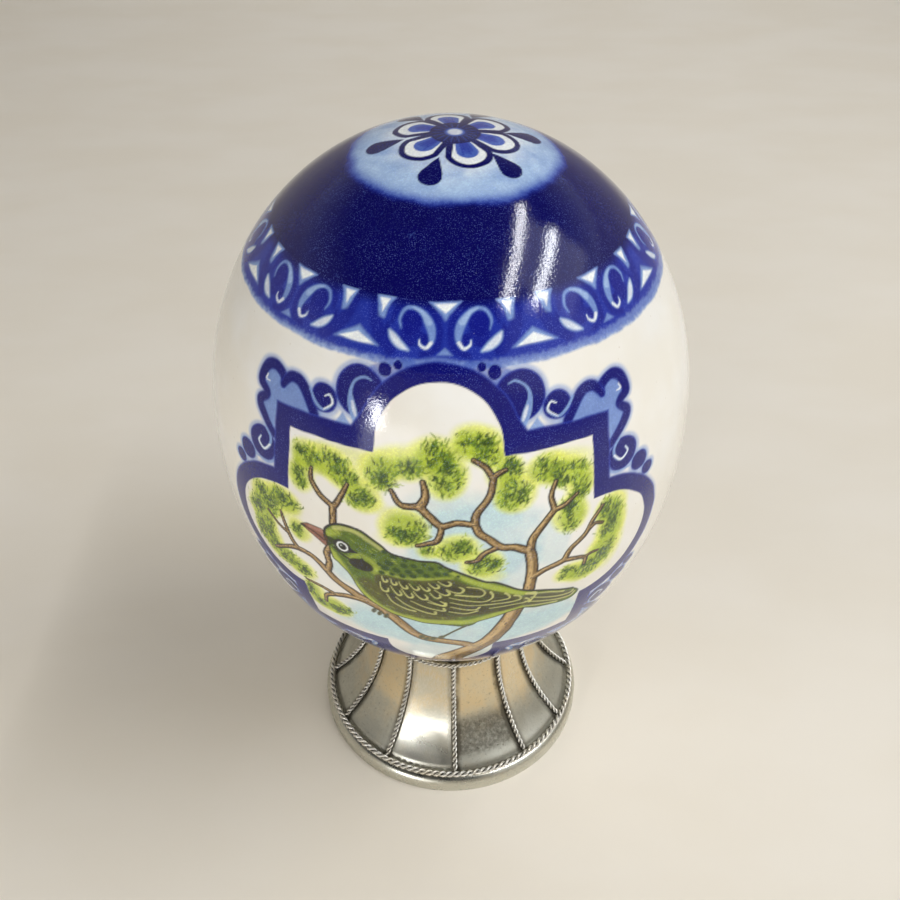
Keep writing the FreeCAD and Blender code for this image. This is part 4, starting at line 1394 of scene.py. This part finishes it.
def rib_rope(number, pitch, samples):
    """A twisted wire along one seam of the skirt."""
    azimuth = math.radians(SEAMS[number - 1])
    radius, height = skirt_profile(400)
    along_r, along_z = np.gradient(radius), np.gradient(height)
    size = np.hypot(along_r, along_z)
    radius = radius - RIB_RISE * along_z / size
    height = height + RIB_RISE * along_r / size
    on_skirt = (height < SKIRT_TOP[1] - 0.1) & (radius < RIB_FOOT_RADIUS)
    radius, height = radius[on_skirt], height[on_skirt]
    turns = lengths_along(radius, height)[-1] / pitch
    radius, height = spaced_evenly(radius, height, round(turns * samples))
    slope = np.arctan2(np.gradient(height), np.gradient(radius))
    path = around_axis(radius, azimuth, height)
    across = np.broadcast_to(around_axis(1.0, azimuth + math.pi / 2, 0.0), path.shape)
    outward = around_axis(-np.sin(slope), azimuth, np.cos(slope))
    return twisted_rope(f"rib_twist_{number:02d}", path, across, outward, RIB_WIRE, turns, closed=False)


# ======================================================================
# Materials
# ======================================================================
def feed(tree, socket, value):
    """Links a socket to another one, or sets its value."""
    if isinstance(value, bpy.types.NodeSocket):
        tree.links.new(value, socket)
    elif isinstance(value, (np.ndarray, tuple, list)):
        socket.default_value = (*[float(v) for v in value], 1.0)[:len(socket.default_value)]
    else:
        socket.default_value = value


def add_node(tree, kind, inputs, **settings):
    """A new node with its settings, such as an operation, and its inputs by name or number."""
    node = tree.nodes.new("ShaderNode" + kind)
    for name, value in settings.items():
        setattr(node, name, value)
    for socket, value in inputs.items():
        feed(tree, node.inputs[socket], value)
    return node


class Shader:
    """A material with one Principled surface, and short ways to add the nodes that feed it."""

    def __init__(self, name):
        self.material = bpy.data.materials.new(name)
        self.material.use_nodes = True
        self.tree = self.material.node_tree
        self.tree.nodes.clear()
        self.surface = self.add("BsdfPrincipled", {})
        self.add("OutputMaterial", {"Surface": self.surface.outputs["BSDF"]})
        self.metres = self.add("TexCoord", {}).outputs["Object"]

    def add(self, kind, inputs, **settings):
        return add_node(self.tree, kind, inputs, **settings)

    def scaled(self, stretch):
        """Coordinates in mm, divided by a size along each axis."""
        per_metre = [1 / MM / size for size in stretch]
        return self.add("VectorMath", {0: self.metres, 1: per_metre}, operation="MULTIPLY").outputs[0]

    def noise(self, size, detail=2.0, roughness=0.5, stretch=(1, 1, 1)):
        """Noise from 0 to 1 whose lumps are size mm across, stretched along an axis if asked."""
        where = self.scaled([size * share for share in stretch])
        inputs = {"Vector": where, "Scale": 1.0, "Detail": detail, "Roughness": roughness}
        return self.add("TexNoise", inputs).outputs[0]

    def cells(self, size):
        """Distance from the middle of scattered cells size mm apart, and each cell's own random colour."""
        node = self.add("TexVoronoi", {"Vector": self.scaled([size] * 3), "Scale": 1.0})
        return node.outputs["Distance"], node.outputs["Color"]

    def ramp(self, value, low, high, to_low=0.0, to_high=1.0):
        inputs = {"Value": value, "From Min": low, "From Max": high, "To Min": to_low, "To Max": to_high}
        return self.add("MapRange", inputs, interpolation_type="SMOOTHSTEP").outputs["Result"]

    def math(self, operation, a, b):
        return self.add("Math", {0: a, 1: b}, operation=operation).outputs[0]

    def mix(self, share, a, b, blend="MIX"):
        """Two colours mixed; the Mix node's inputs 6 and 7 are its colours."""
        return self.add("Mix", {0: share, 6: a, 7: b}, data_type="RGBA", blend_type=blend).outputs[2]

    def attribute(self, name, output):
        return self.add("Attribute", {}, attribute_name=name).outputs[output]

    def bump(self, height, distance, strength=1.0, before=None):
        """Bump from a height of 0 to 1 that stands for distance mm, over any bump before it."""
        inputs = {"Strength": strength, "Distance": distance * MM, "Height": height}
        if before is not None:
            inputs["Normal"] = before
        return self.add("Bump", inputs).outputs[0]

    def finish(self, colour, roughness, metallic=0.0, normal=None, specular=0.5):
        values = {"Base Color": colour, "Roughness": roughness, "Metallic": metallic}
        values["Specular IOR Level"] = specular
        if normal is not None:
            values["Normal"] = normal
        for name, value in values.items():
            feed(self.tree, self.surface.inputs[name], value)
        return self.material


IVORY = tone(241, 240, 236)
IVORY_WARM = tone(236, 232, 222)
# the colour of the painted shade in the pores
IVORY_PORE_SHADE = tone(200, 188, 164)


def egg_material(name, painted):
    """Varnished ostrich shell: warm ivory with pores, darkened with painted shade; painted parts show brush
    wash, grain and pinholes.
    """
    s = Shader(name)
    mottle = s.noise(22, 3)
    ivory = s.mix(s.ramp(mottle, 0.35, 0.68), IVORY_WARM, IVORY)
    pore_reach, pore_random = s.cells(2.6)
    pore = s.ramp(pore_reach, 0.035, 0.085, 1.0, 0.0)
    some = s.ramp(pore_random, 0.25, 0.6)
    pore = s.math("MULTIPLY", pore, some)
    # Painted shade: the pores are darkened in colour as well as dented by bump.
    ivory = s.mix(s.math("MULTIPLY", pore, 0.5), ivory, IVORY_PORE_SHADE)
    fine = s.noise(0.55, 2, 0.6)
    colour = ivory
    if painted:
        paint = s.attribute("paint", "Vector")
        cover = s.attribute("cover", "Fac")
        brush = s.noise(3.2, 3, 0.55)
        wet = s.mix(1.0, paint, (1.55, 1.6, 1.3), "MULTIPLY")
        paint = s.mix(s.ramp(fine, 0.42, 0.7, 0.0, 0.3), paint, wet)
        dense = s.mix(1.0, paint, (0.66, 0.68, 0.8), "MULTIPLY")
        paint = s.mix(s.ramp(brush, 0.4, 0.7, 0.0, 0.35), paint, dense)
        grains = s.math("MULTIPLY", s.ramp(s.noise(0.26, 1, 0.6), 0.55, 0.72),
                        s.ramp(s.noise(6.0, 2), 0.35, 0.65, 0.4, 1.0))
        paint = s.mix(grains, paint, s.mix(1.0, paint, (0.05, 0.07, 0.19), "ADD"))
        colour = s.mix(cover, ivory, paint)
    ripple = s.bump(fine, 0.03, 0.75)
    soft_ripple = s.bump(s.noise(2.4, 2), 0.04, 0.3, ripple)
    pits = s.bump(s.math("SUBTRACT", 1.0, pore), 0.1, 0.5, soft_ripple)
    roughness = s.ramp(s.noise(9, 3), 0.3, 0.7, 0.05, 0.1)
    return s.finish(colour, roughness, normal=pits)


SILVER = tone(226, 221, 211)
SILVER_WARM = tone(232, 212, 172)
SILVER_GREEN = tone(206, 206, 194)
PATINA = tone(92, 87, 76)
ROPE_SILVER = tone(238, 236, 230)


def pewter_material(name, polish, warm_reflection, streaks=(0.35, 0.35, 6.0), seams=False, low_dark_reflection=0.0, grime=1.0):
    """Aged pewter: greener below and warmer above, the warm tint being a painted reflection, with fine
    polishing lines and dark patina in the corners.

    polish, grime and the strength of the painted warm reflection go from 0 to 1, and streaks stretches the
    lines along each axis. With seams, patina also gathers beside a gore's seams. The lower part can also be
    darkened in speckles, a painted dark reflection.
    """
    s = Shader(name)
    up = s.add("SeparateXYZ", {0: s.scaled([1, 1, 1])}).outputs["Z"]
    blotch = s.noise(7, 4, 0.6)
    speck = s.noise(0.9, 3, 0.65)
    lines = s.noise(1.0, 2, 0.5, streaks)
    # Painted warm reflection: the metal is tinted warmer towards the top, as strongly as each piece asks.
    warm_reflection_above = s.ramp(up, 10, 26, 0.0, 0.75 * warm_reflection + 0.1)
    warm_share = s.math("ADD", warm_reflection_above, s.ramp(blotch, 0.35, 0.7, -0.15, 0.25))
    base = s.mix(s.ramp(warm_share, 0, 1), SILVER_GREEN, SILVER_WARM)
    base = s.mix(s.ramp(lines, 0.4, 0.7, 0.0, polish * 0.7), base, SILVER)
    dirt_and_dark_reflection = s.math("ADD", s.ramp(up, 5.5, 9.5, 0.5 * grime, 0.0), s.ramp(up, 36, 40.5, 0.0, 0.45 * grime))
    dirt_and_dark_reflection = s.math("MULTIPLY", dirt_and_dark_reflection, s.ramp(blotch, 0.3, 0.62, 0.3, 1.0))
    dirt_and_dark_reflection = s.math("ADD", dirt_and_dark_reflection, s.ramp(speck, 0.56, 0.75, 0.0, 0.5 * (1 - polish)))
    if seams:
        beside = s.ramp(s.attribute("seam_mm", "Fac"), 0.7, 2.3, 0.75, 0.0)
        dirt_and_dark_reflection = s.math("ADD", dirt_and_dark_reflection, s.math("MULTIPLY", beside, s.ramp(blotch, 0.25, 0.6, 0.4, 1.0)))
    # Painted dark reflection: the lower part of the skirt darkens in speckles.
    if low_dark_reflection:
        low = s.math("MULTIPLY", s.ramp(up, 8.0, 10.5), s.ramp(up, 16.5, 21.0, 1.0, 0.0))
        dark_reflection_speckles = s.math("MULTIPLY", low, s.ramp(s.noise(1.3, 4, 0.7), 0.38, 0.72, 1.0, 0.45))
        dirt_and_dark_reflection = s.math("ADD", dirt_and_dark_reflection, s.math("MULTIPLY", dark_reflection_speckles, low_dark_reflection))
    dirt_and_dark_reflection = s.math("MINIMUM", s.math("MULTIPLY", dirt_and_dark_reflection, 1.1 - polish * 0.5), 0.88)
    # Patina, specks and any painted dark reflection darken the metal together.
    base = s.mix(dirt_and_dark_reflection, base, PATINA)
    foot_haze = 0.12 if seams else 0.0
    dull = s.math("ADD", s.math("MULTIPLY", dirt_and_dark_reflection, 0.25), s.ramp(up, 7, 15, foot_haze, 0.0))
    worn = s.ramp(blotch, 0.3, 0.7, 0.36 - 0.2 * polish, 0.48 - 0.24 * polish)
    roughness = s.math("ADD", worn, dull)
    normal = s.bump(lines, 0.02, 0.3)
    normal = s.bump(speck, 0.05, 0.5 * (1.15 - polish), normal)
    return s.finish(base, roughness, metallic=1.0, normal=normal)


def rope_material(name):
    """Twisted wire: bright on the outside of each strand and black in the grooves."""
    s = Shader(name)
    outside = s.attribute("outside", "Fac")
    blotch = s.noise(5, 3, 0.6)
    speck = s.noise(0.8, 2, 0.6)
    worn = s.math("ADD", outside, s.ramp(speck, 0.3, 0.7, -0.12, 0.12))
    bright = s.mix(s.ramp(blotch, 0.45, 0.75, 0.0, 0.3), ROPE_SILVER, SILVER_WARM)
    colour = s.mix(s.ramp(worn, 0.08, 0.42), PATINA * 0.5, bright)
    roughness = s.ramp(worn, 0.2, 0.6, 0.6, 0.42)
    return s.finish(colour, roughness, metallic=1.0, normal=s.bump(speck, 0.05, 0.5))


def felt_material():
    """Pressed wool felt, dark blue-grey with lighter fibres."""
    s = Shader("blue_felt")
    fibres = s.noise(0.35, 4, 0.7, (1, 1, 0.6))
    tufts = s.noise(2.2, 3, 0.6)
    colour = s.mix(s.ramp(fibres, 0.35, 0.7), tone(34, 38, 58), tone(74, 80, 104))
    colour = s.mix(s.ramp(tufts, 0.4, 0.7, 0.0, 0.4), colour, tone(52, 50, 60))
    return s.finish(colour, 0.95, normal=s.bump(fibres, 0.2, 0.8), specular=0.2)


GLOW = 0.15                # how brightly the far floor glows
GLOW_START = 1200.0        # mm out from the object
GLOW_FULL = 2400.0


def floor_material():
    """A plain pale table top with a trace of grain, which glows faintly far out so as not to turn grey."""
    s = Shader("pale_floor")
    tint = s.noise(60, 3, 0.5, (1.6, 0.9, 1.0))
    colour = s.mix(s.ramp(tint, 0.3, 0.7), tone(239, 231, 216), tone(242, 235, 222))
    reach = s.add("VectorMath", {0: s.scaled([1, 1, 1])}, operation="LENGTH").outputs["Value"]
    feed(s.tree, s.surface.inputs["Emission Color"], colour)
    feed(s.tree, s.surface.inputs["Emission Strength"], s.ramp(reach, GLOW_START, GLOW_FULL, 0.0, GLOW))
    return s.finish(colour, 0.6, specular=0.3)


def attach(piece, material, body, replaced=None):
    """Gives a piece its material, hides the CAD node it replaces and ties the piece to its body."""
    piece.data.materials.append(material)
    if replaced:
        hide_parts(replaced)
    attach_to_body(piece, body)


def dress_cad(node, material, bevel=0.0):
    """Gives a CAD node that stays visible its finish, and softens its hard edges by a bevel in mm."""
    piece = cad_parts[node]
    for slot in piece.material_slots:
        slot.material = material
    if bevel:
        soften = piece.modifiers.new("soft_edges", "BEVEL")
        soften.width = bevel * MM
        soften.segments = 2
        soften.limit_method = "ANGLE"
        soften.angle_limit = math.radians(35)
        soften.harden_normals = True


# ======================================================================
# The object
# ======================================================================
attach(make_shell(), egg_material("varnished_shell", painted=False), "egg", "egg_shell")
painted_shell = egg_material("painted_shell", painted=True)
for skin in make_paint():
    attach(skin, painted_shell, "egg")

dress_cad("seat_felt", felt_material())
attach(make_cup(), pewter_material("cup_pewter", 0.35, 0.5), "stand", "seat_cup")
dress_cad("neck_collar", pewter_material("collar_pewter", 0.3, 0.4), 0.1)
dress_cad("foot_rim", pewter_material("rim_pewter", 0.75, 0.4, (3.0, 3.0, 0.3), grime=0.15), 0.2)

# A gore's finish: how polished it is, how strong its painted warm reflection is, how strong the painted dark
# reflection on its lower part is, and how dented it is. Each gore stands to the viewer's right of its seam.
# The front one is worn bright, and its right neighbour has strong painted warm and dark reflections.
GORE_FINISH = {
    12: (0.9, 0.5, 0.0, 0.12),
    1: (0.25, 1.0, 0.75, 0.2),
    11: (0.35, 1.0, 0.2, 0.25),
    10: (0.35, 0.9, 0.2, 0.25),
    2: (0.5, 1.0, 0.2, 0.25),
    3: (0.4, 0.9, 0.2, 0.25),
}
for number in range(1, len(SEAMS) + 1):
    usual = (0.35 + 0.15 * math.sin(number * 2.3), 0.6 + 0.3 * math.cos(number), 0.3, 0.25)
    polish, warm_reflection, low_dark_reflection, dents = GORE_FINISH.get(number, usual)
    pewter = pewter_material(f"gore_pewter_{number:02d}", polish, warm_reflection, seams=True, low_dark_reflection=low_dark_reflection)
    attach(make_gore(number, dents), pewter, "stand", f"gore_{number:02d}")

# Ropes: the length of one twist in mm, and how many steps each twist is drawn in.
wire = rope_material("twisted_wire")
attach(ring_rope("base_twist", "base_rope", 4.4, 16, 0.9), wire, "stand", "base_rope")
attach(ring_rope("neck_twist", "neck_rope", 3.2, 12), wire, "stand", "neck_rope")
for number in range(1, len(SEAMS) + 1):
    attach(rib_rope(number, 3.6, 14), wire, "stand", f"rib_wire_{number:02d}")


# ======================================================================
# Stage, light and camera
# ======================================================================
FLOOR_FLAT = 1500.0        # mm out to where the floor starts to curl up
FLOOR_REACH = 3500.0
FLOOR_CURL = 1800.0        # height of its far edge
FLOOR_SIDES = 96


def make_floor():
    """A wide flat disc whose far edge curls up softly, so that no hard horizon shows."""
    radii = np.append([0.5, 40, 100, 200, 400, 800, 1200], np.linspace(FLOOR_FLAT, FLOOR_REACH, 12))
    beyond = np.clip((radii - FLOOR_FLAT) / (FLOOR_REACH - FLOOR_FLAT), 0, None)
    azimuth = np.linspace(0, 2 * math.pi, FLOOR_SIDES, endpoint=False)
    rings = [around_axis(radius, azimuth, FLOOR_CURL * share ** 2) for radius, share in zip(radii, beyond)]
    floor = spun_skin("floor", rings, 0.0)
    floor.data.materials.append(floor_material())
    return floor


WHITE = (1.0, 1.0, 1.0)
COOL = (0.97, 0.98, 1.0)
SIDEWAYS = (1, 0, 0)
FORWARDS = (0, 1, 0)
LIGHTS = (
    # name, place, width and height, power, colour, the way its width runs, whether it shows in gloss
    ("tube_near", (0.53, -0.14, 1.15), (1.05, 0.02), 4.2, WHITE, FORWARDS, True),
    ("tube_far", (0.78, -0.14, 1.04), (0.8, 0.05), 4.2, (0.94, 0.97, 1.0), FORWARDS, True),
    ("window", (-0.62, -0.97, 0.31), (0.09, 0.17), 1.8, COOL, SIDEWAYS, True),
    ("front_card", (-0.48, -1.0, 0.15), (0.5, 0.26), 1.0, (0.98, 0.99, 1.0), SIDEWAYS, True),
    ("soft_right", (1.3, -1.0, 0.9), (1.4, 1.0), 1.6, WHITE, SIDEWAYS, True),
    ("soft_above", (0.95, -0.1, 1.2), (0.8, 0.8), 2.1, WHITE, SIDEWAYS, True),
    ("soft_back", (0.1, 1.5, 0.8), (1.2, 1.0), 5.0, WHITE, SIDEWAYS, False),
    ("soft_left", (-1.3, -0.7, 0.8), (1.2, 0.9), 5.0, (1.0, 0.98, 0.94), SIDEWAYS, False),
    ("soft_front", (0.8, -1.4, 0.35), (1.0, 0.5), 3.6, WHITE, SIDEWAYS, False),
)


def area_light(name, place, size, power, colour, along, mirrored):
    """A rectangular light that faces the egg's middle."""
    data = bpy.data.lights.new(name, "AREA")
    data.shape = "RECTANGLE"
    data.size, data.size_y = size
    data.energy = power
    data.color = colour
    lamp = bpy.data.objects.new(name, data)
    bpy.context.scene.collection.objects.link(lamp)
    lamp.location = place
    lamp.visible_glossy = mirrored
    facing = (Vector(place) - Vector((0, 0, EGG_CENTRE * MM))).normalized()
    side = Vector(along)
    side = (side - facing * side.dot(facing)).normalized()
    up = facing.cross(side)
    lamp.rotation_mode = "QUATERNION"
    matrix = [[side[i], up[i], facing[i]] for i in range(3)]
    lamp.rotation_quaternion = Matrix(matrix).to_quaternion()


def make_world():
    """Bright low down like pale walls and dark overhead, dimmer in front and brighter to the right."""
    world = bpy.data.worlds.new("studio")
    world.use_nodes = True
    bpy.context.scene.world = world
    tree = world.node_tree
    direction = add_node(tree, "TexCoord", {}).outputs["Generated"]
    x, y, z = add_node(tree, "SeparateXYZ", {0: direction}).outputs
    fall = add_node(tree, "ValToRGB", {0: z})
    walls, ceiling = fall.color_ramp.elements
    walls.position, walls.color = 0.3, (0.60, 0.60, 0.60, 1)
    ceiling.position, ceiling.color = 0.72, (0.035, 0.035, 0.04, 1)
    # From front to back and from left to right: the range, and the strengths at its two ends.
    changes = ((y, -0.6, 0.1, 0.2, 1.0), (x, -1.0, 1.0, 0.85, 1.35))
    strengths = []
    for value, low, high, to_low, to_high in changes:
        inputs = {"Value": value, "From Min": low, "From Max": high, "To Min": to_low, "To Max": to_high}
        strengths.append(add_node(tree, "MapRange", inputs).outputs["Result"])
    both = add_node(tree, "Math", dict(enumerate(strengths)), operation="MULTIPLY")
    background = tree.nodes["Background"]
    feed(tree, background.inputs["Color"], fall.outputs[0])
    feed(tree, background.inputs["Strength"], both.outputs[0])


make_floor()
for light in LIGHTS:
    area_light(*light)
make_world()

CAMERA_PLACE = (-0.00026, -0.20611, 0.28543)
CAMERA_PITCH = 49.22       # degrees up from straight down
CAMERA_LENS = 38.32
camera_data = bpy.data.cameras.new("camera")
camera_data.sensor_width = 36.0
camera_data.lens = CAMERA_LENS
camera_data.clip_start = 0.01
camera = bpy.data.objects.new("camera", camera_data)
camera.location = CAMERA_PLACE
camera.rotation_euler = (math.radians(CAMERA_PITCH), 0, 0)
bpy.context.scene.collection.objects.link(camera)
bpy.context.scene.camera = camera
bpy.context.scene.view_settings.view_transform = "Standard"
